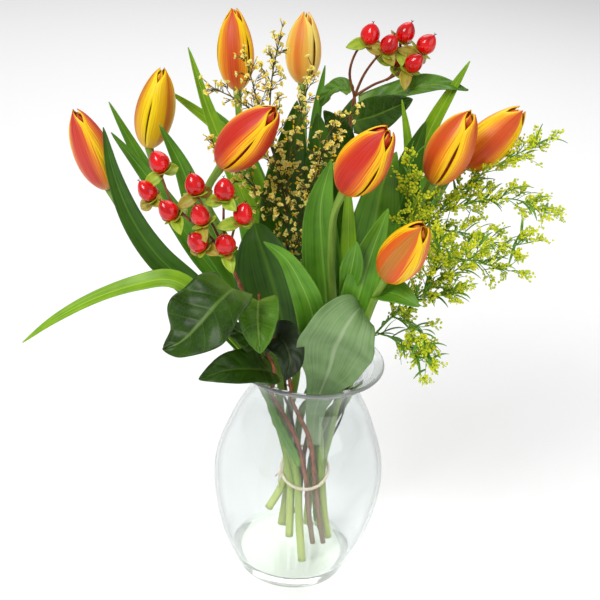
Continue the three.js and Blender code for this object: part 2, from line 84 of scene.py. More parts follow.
def linear(code: str) -> tuple[float, float, float, float]:
    """Turn an sRGB hex colour into the linear RGBA that Blender's sockets hold.

    Args:
        code: six hex digits, with no sign before them.

    Returns:
        Red, green, blue and an alpha of 1.
    """
    parts = [int(code[i : i + 2], 16) / 255 for i in (0, 2, 4)]
    r, g, b = (c / 12.92 if c <= 0.04045 else ((c + 0.055) / 1.055) ** 2.4 for c in parts)
    return (r, g, b, 1.0)


def add_node(
    tree: bpy.types.NodeTree, kind: str, settings: dict | None = None, inputs: dict | None = None
) -> bpy.types.Node:
    """Add one shader node, set it up and link it.

    Args:
        tree: the material's node tree.
        kind: the node's type name.
        settings: the node's own properties by name.
        inputs: what goes into its sockets, by name or number: another socket, or a plain value.

    Returns:
        The new node.
    """
    made = tree.nodes.new(kind)
    for name, value in (settings or {}).items():
        setattr(made, name, value)
    for name, value in (inputs or {}).items():
        if isinstance(value, bpy.types.NodeSocket):
            tree.links.new(value, made.inputs[name])
        else:
            made.inputs[name].default_value = value
    return made


def new_material(name: str) -> tuple[bpy.types.Material, bpy.types.NodeTree]:
    """A node material with an empty tree."""
    made = bpy.data.materials.new(name)
    made.use_nodes = True
    made.node_tree.nodes.clear()
    return made, made.node_tree


def close_material(
    tree: bpy.types.NodeTree,
    sockets: dict,
    height: bpy.types.NodeSocket | None = None,
    strength: float = 0.4,
    depth_mm: float = 0.1,
) -> None:
    """Add the shader, the fine relief under its gloss, and the tree's output.

    Args:
        tree: the material's node tree.
        sockets: what goes into the shader's sockets.
        height: the relief, from 0 to 1, where there is one.
        strength: how far the relief bends the light.
        depth_mm: how deep the relief is.
    """
    shader = add_node(tree, "ShaderNodeBsdfPrincipled", inputs=sockets)
    if height is not None:
        relief = {"Height": height, "Strength": strength, "Distance": depth_mm * MM}
        bump = add_node(tree, "ShaderNodeBump", inputs=relief)
        tree.links.new(bump.outputs[0], shader.inputs["Normal"])
    add_node(tree, "ShaderNodeOutputMaterial", inputs={"Surface": shader.outputs[0]})


def paint(
    tree: bpy.types.NodeTree,
    colour: Colour,
    bands: Iterable[tuple[bpy.types.NodeSocket, float, float, float, Colour]],
) -> bpy.types.NodeSocket:
    """Lay bands of colour over a colour, one after another.

    Args:
        tree: the material's node tree.
        colour: the colour underneath.
        bands: for each band the value that it follows, the value at which it begins, the value
            at which it is full, how much it covers there, and its colour.

    Returns:
        The painted colour.
    """
    for value, start, full, cover, shade in bands:
        reach = {"Value": value, "From Min": start, "From Max": full, "To Max": cover}
        factor = add_node(tree, "ShaderNodeMapRange", SMOOTH, reach).outputs[0]
        layers = {0: factor, MIX_A: colour, MIX_B: shade}
        colour = add_node(tree, "ShaderNodeMix", COLOUR_MIX, layers).outputs[MIX_OUT]
    return colour


# At this scale the first two octaves of noise fall on either side of the wanted spacing.
STREAK_SCALE = 0.6


def streaks(
    tree: bpy.types.NodeTree, spacing_mm: float, run_mm: float, contrast: tuple[float, float]
) -> bpy.types.NodeSocket:
    """Long fine lines that run along a piece, such as a leaf's parallel veins.

    Args:
        tree: the material's node tree.
        spacing_mm: how far apart the lines are, across the piece.
        run_mm: how far a line keeps its tone, along the piece.
        contrast: the noise values that become 0 and 1.

    Returns:
        A factor from 0 to 1, read from the "metres" UV map (x across, y along).
    """
    spot = add_node(tree, "ShaderNodeUVMap", {"uv_map": "metres"})
    scale = (1 / (spacing_mm * MM), 1 / (run_mm * MM), 1.0)
    laid = add_node(tree, "ShaderNodeMapping", inputs={"Vector": spot.outputs[0], "Scale": scale})
    return clouded(tree, laid.outputs[0], STREAK_SCALE, 3.0, contrast)


def mottle(
    tree: bpy.types.NodeTree, size_mm: float, contrast: tuple[float, float]
) -> bpy.types.NodeSocket:
    """Soft clouds of a real size over the object, as a factor from 0 to 1."""
    spot = add_node(tree, "ShaderNodeTexCoord").outputs["Object"]
    return clouded(tree, spot, 1 / (size_mm * MM), 2.0, contrast)


def clouded(
    tree: bpy.types.NodeTree,
    spot: bpy.types.NodeSocket,
    scale: float,
    detail: float,
    contrast: tuple[float, float],
) -> bpy.types.NodeSocket:
    """Noise at a spot, stretched so that the two contrast values become 0 and 1."""
    grain = {"Vector": spot, "Scale": scale, "Detail": detail}
    noise = add_node(tree, "ShaderNodeTexNoise", inputs=grain)
    reach = {"Value": noise.outputs[0], "From Min": contrast[0], "From Max": contrast[1]}
    return add_node(tree, "ShaderNodeMapRange", inputs=reach).outputs[0]


def across_and_along(tree: bpy.types.NodeTree) -> tuple[bpy.types.NodeSocket, bpy.types.NodeSocket]:
    """The distance from the midrib (0 to 1 at the edge) and the way along (0 to 1 at the tip)."""
    spot = add_node(tree, "ShaderNodeUVMap", {"uv_map": "unit"})
    parts = add_node(tree, "ShaderNodeSeparateXYZ", inputs={"Vector": spot.outputs[0]})
    doubled = {0: parts.outputs[0], 1: 2.0, 2: -1.0}
    centred = add_node(tree, "ShaderNodeMath", TIMES_PLUS, doubled)
    side = add_node(tree, "ShaderNodeMath", {"operation": "ABSOLUTE"}, {0: centred.outputs[0]})
    return side.outputs[0], parts.outputs[1]


# How far a side vein slants towards the tip on its way to the edge, in gaps between two veins.
VEIN_SLANT = 1.1


@dataclass(frozen=True)
class LeafFinish:
    """A living leaf: a waxy cuticle over green tissue, so a satin gloss with pale fine veins.

    The veins of a tulip leaf are about 0.7 mm apart and the mesh of a hypericum leaf about 1 mm
    wide. Both are too fine to show, so they are drawn 1.0 to 1.3 mm and 3.2 mm apart.
    """

    name: str
    blade: str
    vein: str
    shade: str
    midrib: str
    roughness: float
    vein_spacing_mm: float = 1.3
    netted: int = 0

    CLOUD_MM: ClassVar[float] = 22.0
    VEIN_RUN_MM: ClassVar[float] = 90.0
    MESH_MM: ClassVar[float] = 3.2
    PARALLEL_STRENGTH: ClassVar[float] = 0.55
    GLOSS: ClassVar[float] = 0.32

    def material(self) -> bpy.types.Material:
        """Make the material: clouded green, then veins, then the paler midrib and foot."""
        made, tree = new_material(self.name)
        side, along = across_and_along(tree)
        clouds = mottle(tree, self.CLOUD_MM, (0.35, 0.7))
        veins = self.net(tree, side, along) if self.netted else self.parallel(tree)
        colour: Colour = linear(self.blade)
        for factor, shade in ((clouds, self.shade), (veins, self.vein)):
            layers = {0: factor, MIX_A: colour, MIX_B: linear(shade)}
            colour = add_node(tree, "ShaderNodeMix", COLOUR_MIX, layers).outputs[MIX_OUT]
        pale = linear(self.midrib)
        bands = ((side, 0.09, 0.02, 0.75, pale), (along, 0.22, 0.0, 0.6, pale))
        sockets = {
            "Base Color": paint(tree, colour, bands),
            "Roughness": self.roughness,
            "IOR": 1.45,
            "Specular IOR Level": self.GLOSS,
        }
        close_material(tree, sockets, veins, strength=0.3, depth_mm=0.3)
        return made

    def parallel(self, tree: bpy.types.NodeTree) -> bpy.types.NodeSocket:
        """Faint lines from foot to tip, as on a tulip leaf."""
        lines = streaks(tree, self.vein_spacing_mm, self.VEIN_RUN_MM, (0.35, 0.68))
        faint = {0: lines, 1: self.PARALLEL_STRENGTH}
        return add_node(tree, "ShaderNodeMath", TIMES, faint).outputs[0]

    def net(
        self, tree: bpy.types.NodeTree, side: bpy.types.NodeSocket, along: bpy.types.NodeSocket
    ) -> bpy.types.NodeSocket:
        """Side veins that leave the midrib by pairs and slant to the tip, over a fine mesh."""
        steps = add_node(tree, "ShaderNodeMath", TIMES, {0: along, 1: float(self.netted)})
        slope = {0: side, 1: -VEIN_SLANT, 2: steps.outputs[0]}
        slant = add_node(tree, "ShaderNodeMath", TIMES_PLUS, slope)
        half_gap = {0: slant.outputs[0], 1: 0.5}
        saw = add_node(tree, "ShaderNodeMath", {"operation": "PINGPONG"}, half_gap)
        spot = add_node(tree, "ShaderNodeUVMap", {"uv_map": "metres"}).outputs[0]
        size = {"Vector": spot, "Scale": 1 / (self.MESH_MM * MM)}
        cells = add_node(tree, "ShaderNodeTexVoronoi", {"feature": "DISTANCE_TO_EDGE"}, size)
        lines = {}
        for i, (gap, width, height) in enumerate(((saw, 0.05, 0.55), (cells, 0.09, 0.28))):
            reach = {"Value": gap.outputs[0], "From Min": width, "From Max": 0.0, "To Max": height}
            lines[i] = add_node(tree, "ShaderNodeMapRange", SMOOTH, reach).outputs[0]
        return add_node(tree, "ShaderNodeMath", {"operation": "MAXIMUM"}, lines).outputs[0]


class Tone(Enum):
    """The kinds of leaf in the bouquet, each with its own finish."""

    # A full-grown blade in the bouquet's shade: deep green, with a dull gloss.
    DARK = LeafFinish("tulip_leaf_dark", "35600e", "4c7a1c", "204006", "588424", 0.44)
    # A full-grown blade in the light: clear mid green.
    MID = LeafFinish("tulip_leaf_green", "56901c", "78aa38", "386c0c", "86b446", 0.4)
    # A young thin blade that lets light through: yellow-green.
    LIGHT = LeafFinish("tulip_leaf_young", "82b01c", "a0c83a", "5e900c", "aed04c", 0.38)
    # A blade with its bloom of wax still on: grey-green and nearly matt, with close pale lines.
    WAXY = LeafFinish("tulip_leaf_waxy", "7a9a62", "90ac7a", "5a7c40", "a2b68c", 0.5, 1.0)
    # A leathery hypericum leaf: dark, satin, with a net of sunken veins.
    BUSH = LeafFinish("hypericum_leaf", "2f520c", "4e701c", "1a3206", "5e7e2a", 0.4, netted=6)
    # The same leaf when young: thinner and brighter.
    YOUNG = LeafFinish(
        "hypericum_leaf_young", "568420", "729a34", "3a6412", "84a440", 0.4, netted=6
    )
    # The same leaf darkened almost to black-green: painted shade, for leaves that stand in the
    # bouquet's shadow.
    NIGHT = LeafFinish("hypericum_leaf_painted_shade", "26341a", "384628", "182210", "44522c", 0.5, netted=6)


@dataclass(frozen=True)
class PetalFinish:
    """A tulip tepal: thin satin tissue, with a flame of colour that breaks up into fine streaks.

    The cells that make the streaks are under 0.1 mm wide, so they are drawn 0.7 mm apart.
    """

    name: str
    flame: str
    deep: str
    body: str
    rim: str
    foot: str
    flame_reach: float
    rim_start: float

    FINE_MM: ClassVar[tuple[float, float]] = (0.7, 20.0)
    BROAD_MM: ClassVar[tuple[float, float]] = (4.0, 50.0)
    FLAME_FADE: ClassVar[float] = 0.55
    RIM_FADE: ClassVar[tuple[float, float]] = (0.22, 0.52)
    FOOT_REACH: ClassVar[float] = 0.3

    def material(self) -> bpy.types.Material:
        """Make the material: body, then flame with deep streaks, foot and bright rim."""
        made, tree = new_material(self.name)
        side, along = across_and_along(tree)
        fine = streaks(tree, *self.FINE_MM, (0.32, 0.7))
        broad = streaks(tree, *self.BROAD_MM, (0.3, 0.7))
        torn = {0: fine, 1: 0.42, 2: side}
        ragged = add_node(tree, "ShaderNodeMath", TIMES_PLUS, torn).outputs[0]
        wavy, edge = (
            add_node(tree, "ShaderNodeMath", TIMES_PLUS, {0: value, 1: share, 2: ragged}).outputs[0]
            for value, share in ((broad, 0.32), (along, 0.4))
        )
        layers = {0: fine, MIX_A: linear(self.flame), MIX_B: linear(self.deep)}
        flame = add_node(tree, "ShaderNodeMix", COLOUR_MIX, layers).outputs[MIX_OUT]
        rim_from, rim_full = (self.rim_start + fade for fade in self.RIM_FADE)
        bands = (
            (wavy, self.flame_reach + self.FLAME_FADE, self.flame_reach, 1.0, flame),
            (along, self.FOOT_REACH, 0.0, 1.0, linear(self.foot)),
            (edge, rim_from, rim_full, 1.0, linear(self.rim)),
        )
        sockets = {
            "Base Color": paint(tree, linear(self.body), bands),
            "Roughness": 0.42,
            "IOR": 1.42,
            "Specular IOR Level": 0.45,
            "Subsurface Weight": 0.08,
            "Subsurface Radius": (0.003, 0.0015, 0.0006),
            "Subsurface Scale": 0.5,
        }
        close_material(tree, sockets, fine, strength=0.4, depth_mm=0.25)
        return made


class Petal(Enum):
    """The colours of the blooms: flame, its deep streaks, body, rim and foot."""

    # The reddest blooms: nearly all flame, with a sharp yellow rim.
    SCARLET = PetalFinish(
        "petal_scarlet", "da361a", "ac1816", "f28418", "fed000", "e0743a", 0.68, 0.86
    )
    # An outer bloom gone pink, with a straw-coloured foot.
    ROSE = PetalFinish("petal_rose", "d84634", "b02c26", "f08828", "fed014", "dcae62", 0.62, 0.86)
    # A yellow bloom with a narrow tawny flame.
    YELLOW = PetalFinish(
        "petal_yellow", "dc7a14", "b8580e", "f0b80a", "fedc0c", "dca414", 0.3, 0.74
    )
    # Half flame and half body: reads as orange.
    ORANGE = PetalFinish(
        "petal_orange", "e05e1a", "bc3a14", "f4961a", "fed004", "da8e38", 0.58, 0.8
    )
    # The palest bloom, apricot with a pale yellow rim.
    PEACH = PetalFinish("petal_peach", "ec8a2e", "d86c20", "f6b64a", "fee070", "f0bc5a", 0.35, 0.74)
    # An ochre flame on an orange-red body, and a greenish foot.
    AMBER = PetalFinish("petal_amber", "cc842a", "ac601c", "e25812", "fed00a", "b49e34", 0.42, 0.78)


@dataclass(frozen=True)
class PlainFinish:
    """A surface of two clouded colours with streaks along it: stems, bark, berries and twine."""

    name: str
    light: str
    dark: str
    roughness: float
    cloud_mm: float = 12.0
    coat: float = 0.0
    subsurface: float = 0.0
    streak_mm: float = 0.0
    bump_mm: float = 0.1
    foot: str = ""

    STREAK_RUN_MM: ClassVar[float] = 30.0

    def material(self) -> bpy.types.Material:
        """Make the material; a streak spacing over 0 adds lines that follow the piece."""
        made, tree = new_material(self.name)
        factor = mottle(tree, self.cloud_mm, (0.38, 0.62))
        if self.streak_mm:
            lines = streaks(tree, self.streak_mm, self.STREAK_RUN_MM, (0.35, 0.65))
            both = add_node(tree, "ShaderNodeMath", TIMES, {0: factor, 1: lines})
            soft = {0: lines, 1: 0.4, 2: both.outputs[0]}
            factor = add_node(tree, "ShaderNodeMath", TIMES_PLUS, soft).outputs[0]
        layers = {0: factor, MIX_A: linear(self.light), MIX_B: linear(self.dark)}
        colour = add_node(tree, "ShaderNodeMix", COLOUR_MIX, layers).outputs[MIX_OUT]
        if self.foot:
            along = across_and_along(tree)[1]
            colour = paint(tree, colour, ((along, 0.32, 0.02, 1.0, linear(self.foot)),))
        sockets = {
            "Base Color": colour,
            "Roughness": self.roughness,
            "IOR": 1.45,
            "Coat Weight": self.coat,
            "Coat Roughness": 0.08,
            "Subsurface Weight": self.subsurface,
            "Subsurface Radius": (0.003, 0.002, 0.001),
            "Subsurface Scale": 0.5,
        }
        close_material(tree, sockets, factor, strength=0.4, depth_mm=self.bump_mm)
        return made


@dataclass(frozen=True)
class GlassFinish:
    """Clear blown soda-lime glass: see-through, with painted shade that greys it where the eye
    meets the wall edge on.
    """

    name: str
    clear: float
    roughness: float
    tint: str = "f4f7f7"
    # The outline's grey: painted shade, in place of the darker room that the wall refracts when
    # seen edge on.
    edge: str = "98a4a4"

    WAVE_MM: ClassVar[float] = 40.0
    EDGE_FROM: ClassVar[float] = 0.6

    def material(self) -> bpy.types.Material:
        """Make the glass, with the slight waviness that blowing leaves."""
        made, tree = new_material(self.name)
        waves = mottle(tree, self.WAVE_MM, (0.3, 0.7))
        facing = add_node(tree, "ShaderNodeLayerWeight", inputs={"Blend": 0.5}).outputs["Facing"]
        # Painted shade: the colour turns grey where the wall is seen edge on.
        outline = ((facing, self.EDGE_FROM, 1.0, 1.0, linear(self.edge)),)
        sockets = {
            "Base Color": paint(tree, linear(self.tint), outline),
            "Roughness": self.roughness,
            "IOR": 1.45,
            "Transmission Weight": self.clear,
        }
        close_material(tree, sockets, waves, strength=0.08, depth_mm=0.4)
        return made


class Glass(Enum):
    """The vase's glass by place."""

    # The thin wall: almost nothing of it shows but its painted grey outline and its highlights.
    BODY = GlassFinish("blown_clear_glass", 0.965, 0.02)
    # The lip, melted round in a flame: it catches the light as a soft bright line.
    RIM = GlassFinish("fire_polished_rim", 0.7, 0.1)
    # The thick floor: a faint green-grey, because light goes through more glass.
    BASE = GlassFinish("thick_glass_base", 0.85, 0.05, "e2e8de")


class Plain(Enum):
    """The finishes that aren't leaves, petals or glass."""

    # Smooth juicy skin with fine ribs, paler towards the foot that stood in the dark.
    STEM = PlainFinish(
        "tulip_stem_skin",
        "84a63a",
        "67882a",
        0.42,
        30.0,
        subsurface=0.05,
        streak_mm=1.4,
        foot="b4c466",
    )
    # A knife-cut stem end: pale, wet pith.
    CUT = PlainFinish("tulip_stem_cut", "c8d48c", "aabc68", 0.6, 3.0)
    # Stripped woody stem: red-brown and rough, greener at its foot.
    BARK = PlainFinish(
        "hypericum_bark", "a8663c", "6c3424", 0.6, 5.0, streak_mm=0.8, bump_mm=0.4, foot="857258"
    )
    # This year's twig: smoother, darker red-brown.
    TWIG = PlainFinish("hypericum_twig", "86522c", "6a2c1e", 0.5, 8.0, streak_mm=1.0)
    # A tight waxed berry: deep clear red with small sharp highlights.
    BERRY = PlainFinish("berry_skin", "e4040e", "b60008", 0.16, 9.0, coat=0.35)
    # The dried styles on its tip: dull dark threads.
    STYLE = PlainFinish("berry_style", "5a1a10", "3c100a", 0.6, 2.0)
    # The small leafy sepals and bracts under the berries: yellow-green.
    SEPAL = PlainFinish("berry_sepal", "acc034", "86a424", 0.45, 4.0, streak_mm=1.2)
    # The same where the sun has browned them.
    BLUSHED = PlainFinish("berry_sepal_blushed", "aaa834", "a07a2c", 0.45, 4.0, streak_mm=1.2)
    # A dry wiry stalk: matt olive brown.
    WIRY = PlainFinish("limonium_stem", "5e5a20", "3c3410", 0.7, 8.0)
    # The floret's papery trumpet: chalky pale yellow.
    CREAM = PlainFinish("limonium_paper", "fdf6a6", "eede66", 0.85, 3.0)
    # The dry husk that holds it: straw brown.
    HUSK = PlainFinish("limonium_husk", "a89a3c", "746820", 0.85, 2.0)
    # The floret's middle, and the buds that are still shut: strong yellow.
    EYE = PlainFinish("limonium_eye", "f4d020", "dcaa08", 0.8, 2.0)
    # A green plume stalk, dull and a little hairy.
    GREENWOOD = PlainFinish("goldenrod_stem", "86b83a", "649628", 0.6, 10.0)
    # The narrow leaves along it.
    NARROW = PlainFinish("goldenrod_leaf", "72a832", "4e8420", 0.5, 8.0)
    # Tiny heads full of pollen: dusty greenish yellow.
    GOLD = PlainFinish("goldenrod_heads", "e8ea26", "b8cc26", 0.85, 5.0)
    # Spun cotton twine: cream and fibrous.
    TWINE = PlainFinish(
        "twisted_twine", "f0e8d6", "ccb894", 0.9, 1.2, streak_mm=0.5, bump_mm=0.3
    )


MADE: dict[str, bpy.types.Material] = {}


def material(finish: Tone | Petal | Plain | Glass) -> bpy.types.Material:
    """The material of a finish, made once."""
    if finish.value.name not in MADE:
        MADE[finish.value.name] = finish.value.material()
    return MADE[finish.value.name]


# ------------------------------------------------------------------------------ shapes

# The power that fills out the sine outline of a bud or berry: 0.5 is blunter, 1 is pointed.
OUTLINE = 0.62


class Route:
    """A smooth centripetal curve through points, read by the share of its length."""

    PIECES: ClassVar[int] = 12
    STEP: ClassVar[float] = 0.012

    def __init__(self, points: Sequence[Vector]) -> None:
        """Lay the curve through the points, in order."""
        ends = [points[0] * 2 - points[1], *points, points[-1] * 2 - points[-2]]
        self.line: list[Vector] = []
        for i in range(1, len(ends) - 2):
            for k in range(self.PIECES):
                self.line.append(self.blend(ends[i - 1 : i + 3], k / self.PIECES))
        self.line.append(points[-1].copy())
        self.reach = [0.0]
        for a, b in zip(self.line, self.line[1:]):
            self.reach.append(self.reach[-1] + (b - a).length)
        self.length = self.reach[-1]

    @staticmethod
    def blend(four: Sequence[Vector], t: float) -> Vector:
        """A point between the middle two of four points, at t from 0 to 1."""
        p0, p1, p2, p3 = four
        d0, d1, d2 = (max((b - a).length ** 0.5, 1e-6) for a, b in zip(four, four[1:]))
        t1 = ((p1 - p0) / d0 - (p2 - p0) / (d0 + d1) + (p2 - p1) / d1) * d1
        t2 = ((p2 - p1) / d1 - (p3 - p1) / (d1 + d2) + (p3 - p2) / d2) * d1
        cubic = (2 * p1 - 2 * p2 + t1 + t2) * t**3
        return cubic + (3 * p2 - 3 * p1 - 2 * t1 - t2) * t**2 + t1 * t + p1

    def at(self, u: float) -> Vector:
        """The point a share u of the way along."""
        want = min(max(u, 0.0), 1.0) * self.length
        low, high = 0, len(self.reach) - 1
        while high - low > 1:
            mid = (low + high) // 2
            low, high = (mid, high) if self.reach[mid] <= want else (low, mid)
        gap = max(self.reach[high] - self.reach[low], 1e-9)
        return self.line[low].lerp(self.line[high], (want - self.reach[low]) / gap)

    def tangent(self, u: float) -> Vector:
        """The direction a share u of the way along."""
        before, after = self.at(max(u - self.STEP, 0.0)), self.at(min(u + self.STEP, 1.0))
        return (after - before).normalized()


def beside(axis: Vector, turn: float) -> Vector:
    """A direction square to an axis, turned round it by an angle in radians."""
    return Matrix.Rotation(turn, 3, axis) @ axis.orthogonal().normalized()


def faces_of(verts: Iterable[bmesh.types.BMVert]) -> set[bmesh.types.BMFace]:
    """The faces that touch any of some vertices."""
    return {face for vert in verts for face in vert.link_faces}


def bend_grid(
    bm: bmesh.types.BMesh,
    across: int,
    along: int,
    place: Callable[[float, float], Vector],
    size: tuple[float, float],
    slot_index: int = 0,
) -> list[bmesh.types.BMVert]:
    """Add a grid and bend it into a surface.

    Args:
        bm: the mesh to add to.
        across: faces from edge to edge.
        along: faces from base to tip.
        place: where a spot goes, from v (-1 to 1 across) and u (0 to 1 along).
        size: the surface's width and length in metres, for the "metres" UV map.
        slot_index: the material of its faces.

    Returns:
        The grid's vertices.
    """
    metres = bm.loops.layers.uv.get("metres") or bm.loops.layers.uv.new("metres")
    unit = bm.loops.layers.uv.get("unit") or bm.loops.layers.uv.new("unit")
    verts = bmesh.ops.create_grid(bm, x_segments=across, y_segments=along, size=1.0)["verts"]
    spots = {vert: (vert.co.x, (vert.co.y + 1) / 2) for vert in verts}
    for face in faces_of(verts):
        face.material_index = slot_index
        face.smooth = True
        for loop in face.loops:
            v, u = spots[loop.vert]
            loop[metres].uv = (v * size[0] / 2, u * size[1])
            loop[unit].uv = ((v + 1) / 2, u)
    for vert, (v, u) in spots.items():
        vert.co = place(v, u)
    return verts


def tube(
    bm: bmesh.types.BMesh,
    points: Sequence[Vector],
    radius: Callable[[float], float],
    sides: int,
    steps: int,
    slot_index: int = 0,
    end_slot: int | None = None,
) -> Route:
    """Add a round stem along a smooth route, its ends closed.

    Args:
        bm: the mesh to add to.
        points: what the route passes through.
        radius: the stem's radius in metres, from the share of the way along.
        sides: faces around it.
        steps: faces along it.
        slot_index: the material of its skin.
        end_slot: the material of its two ends, where that differs.

    Returns:
        The route it follows.
    """
    route = Route(points)
    tangent = route.tangent(0)
    normal = tangent.orthogonal().normalized()
    normals = []
    for i in range(steps + 1):
        tangent = route.tangent(i / steps)
        normal = (normal - tangent * normal.dot(tangent)).normalized()
        normals.append((route.at(i / steps), normal.copy(), tangent.cross(normal)))

    def place(v: float, u: float) -> Vector:
        """Roll the grid's width into a ring around the route."""
        centre, one, other = normals[round(u * steps)]
        turn = math.pi * v
        return centre + (one * math.cos(turn) + other * math.sin(turn)) * radius(u)

    girth = 2 * math.pi * radius(0.5)
    verts = bend_grid(bm, sides, steps, place, (girth, route.length), slot_index)
    bmesh.ops.remove_doubles(bm, verts=verts, dist=1e-7)
    kept = [vert for vert in verts if vert.is_valid]
    edges = list(dict.fromkeys(e for vert in kept for e in vert.link_edges if e.is_boundary))
    caps = bmesh.ops.holes_fill(bm, edges=edges)["faces"]
    for face in caps:
        face.material_index = slot_index if end_slot is None else end_slot
    return route


def graft(bm: bmesh.types.BMesh, part: bmesh.types.BMesh) -> None:
    """Add a small mesh to a bigger one, which is much quicker than working in the big one."""
    holder = bpy.data.meshes.new("graft")
    part.to_mesh(holder)
    part.free()
    bm.from_mesh(holder)
    bpy.data.meshes.remove(holder)


def egg(
    bm: bmesh.types.BMesh,
    start: Vector,
    end: Vector,
    width: float,
    fullness: float,
    faces: tuple[int, int],
) -> list[bmesh.types.BMVert]:
    """Add an egg between two points, full low down and drawn in towards its end.

    Args:
        bm: the mesh to add to.
        start: its blunt end.
        end: its narrow end.
        width: its greatest width in metres.
        fullness: under 1 moves the widest part towards the start.
        faces: faces around it and from end to end.

    Returns:
        The egg's vertices.
    """
    axis = end - start
    turn = UP.rotation_difference(axis.normalized()).to_matrix()
    ball = bmesh.ops.create_uvsphere(bm, u_segments=faces[0], v_segments=faces[1], radius=1.0)
    verts = ball["verts"]
    for vert in verts:
        t = (1 + vert.co.z) / 2
        ring = math.hypot(vert.co.x, vert.co.y)
        spread = math.sin(math.pi * t**fullness) ** OUTLINE if 0 < t < 1 else 0.0
        scale = width / 2 * spread / ring if ring > 1e-6 else 0.0
        vert.co = start + turn @ Vector((vert.co.x * scale, vert.co.y * scale, t * axis.length))
    for face in faces_of(verts):
        face.smooth = True
    return verts


def finish_piece(
    bm: bmesh.types.BMesh,
    name: str,
    finishes: Iterable[Tone | Petal | Plain | Glass],
    replaced: Sequence[str] = (),
    thickness: float = 0.0,
) -> bpy.types.Object:
    """Turn a mesh into a named piece that rides with the vase.

    Args:
        bm: the finished mesh, which is freed here.
        name: the piece's name.
        finishes: its finishes, in the order of its faces' numbers.
        replaced: the CAD nodes that it stands for.
        thickness: the wall in metres, for a piece built as a surface.

    Returns:
        The new object.
    """
    mesh = bpy.data.meshes.new(name)
    bm.to_mesh(mesh)
    bm.free()
    for finish in finishes:
        mesh.materials.append(material(finish))
    piece = bpy.data.objects.new(name, mesh)
    bpy.context.scene.collection.objects.link(piece)
    if thickness:
        wall = piece.modifiers.new("wall", "SOLIDIFY")
        wall.thickness = thickness
        wall.offset = 0.0
    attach(piece, "root")
    if replaced:
        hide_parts(*replaced)
    nodes = ", ".join(replaced) or "nothing"
    LOG.info("%s: %d faces, stands for %s", name, len(mesh.polygons), nodes)
    return piece


# ------------------------------------------------------------------------------ vase and tie


@dataclass
class Vase:
    """The blown vase: a thick floor, a full belly, a narrow neck and a flared rim."""

    height: float = 221.0
    wall: float = 3.0
    floor: float = 15.0
    foot_radius: float = 47.0
    belly_radius: float = 78.5
    belly_height: float = 109.0
    neck_radius: float = 47.5
    neck_below_rim: float = 23.0
    rim_radius: float = 68.0
    foot_round: float = 3.0
    foot_flat: float = 0.9
    corner: float = 12.0
    rows: int = 60
    turns: int = 96
    lip_rows: int = 5
    well_rows: int = 6

    @property
    def neck_height(self) -> float:
        """The height of the narrowest place."""
        return self.height - self.neck_below_rim

    def outline(self) -> Route:
        """The outside in the XZ plane, from above the rounded foot up to the rim."""
        neck = self.neck_height
        through = [
            (self.foot_radius + 5, self.foot_round),
            ((self.foot_radius + 2 * self.belly_radius) / 3 + 2, self.belly_height * 0.42),
            (self.belly_radius, self.belly_height),
            ((self.belly_radius + self.neck_radius) / 2 + 2, (self.belly_height + neck) / 2 + 3),
            (self.neck_radius, neck),
            ((self.neck_radius + self.rim_radius) / 2 - 2.5, neck + self.neck_below_rim * 0.66),
            (self.rim_radius, self.height - self.wall / 2),
        ]
        return Route([Vector((r, 0, z)) * MM for r, z in through])

    def build(self) -> None:
        """Spin the wall's section into one smooth closed shell."""
        outline = self.outline()
        outer, inner = [], []
        for i in range(self.rows + 1):
            at, along = outline.at(i / self.rows), outline.tangent(i / self.rows)
            outward = Vector((along.z, 0, -along.x))
            outer.append(at)
            side = at - outward * self.wall * MM
            if side.z > (self.floor + 2.4 * self.wall) * MM:
                inner.insert(0, side)
        lip = self.arc(outer[-1], inner[0], self.lip_rows)
        well = self.well(inner[-1])
        foot = Vector((self.foot_radius, 0, 0)) * MM
        heel = foot + Vector((2.6, 0, 0.7)) * MM
        section = [Vector((0, 0, 0)), foot * self.foot_flat, foot, heel]
        section += [*outer, *lip, *inner, *well, Vector((0, 0, self.floor * MM))]
        bm = bmesh.new()
        verts = [bm.verts.new(p) for p in section]
        edges = [bm.edges.new(pair) for pair in zip(verts, verts[1:])]
        bmesh.ops.spin(
            bm,
            geom=verts + edges,
            cent=(0, 0, 0),
            axis=UP,
            angle=math.tau,
            steps=self.turns,
            use_merge=True,
        )
        bmesh.ops.remove_doubles(bm, verts=bm.verts[:], dist=1e-6)
        bmesh.ops.recalc_face_normals(bm, faces=bm.faces[:])
        for face in bm.faces:
            face.smooth = True
            height = face.calc_center_median().z
            if height > (self.height - 0.8 * self.wall) * MM:
                face.material_index = 1
            elif height < (self.floor + 0.3) * MM:
                face.material_index = 2
        glass = finish_piece(bm, "vase_glass", Glass, ["glass_vase"])
        # Clear glass hardly shades what stands in it, but a traced shadow would be nearly black.
        glass.visible_shadow = False

    @staticmethod
    def arc(start: Vector, end: Vector, count: int) -> list[Vector]:
        """The round top of the rim, between its outer and inner edges."""
        middle, half = (start + end) / 2, (start - end) / 2
        lift = Vector((-half.z, 0, half.x))
        turns = [math.pi * (i + 1) / (count + 1) for i in range(count)]
        return [middle + half * math.cos(a) + lift * math.sin(a) for a in turns]

    def well(self, start: Vector) -> list[Vector]:
        """The rounded corner where the inner wall meets the thick floor."""
        end = Vector((start.x - self.corner * MM, 0, self.floor * MM))
        corner = Vector((start.x - self.wall / 2 * MM, 0, self.floor * MM))
        steps = [(i + 1) / self.well_rows for i in range(self.well_rows)]
        return [start.lerp(corner, t).lerp(corner.lerp(end, t), t) for t in steps]


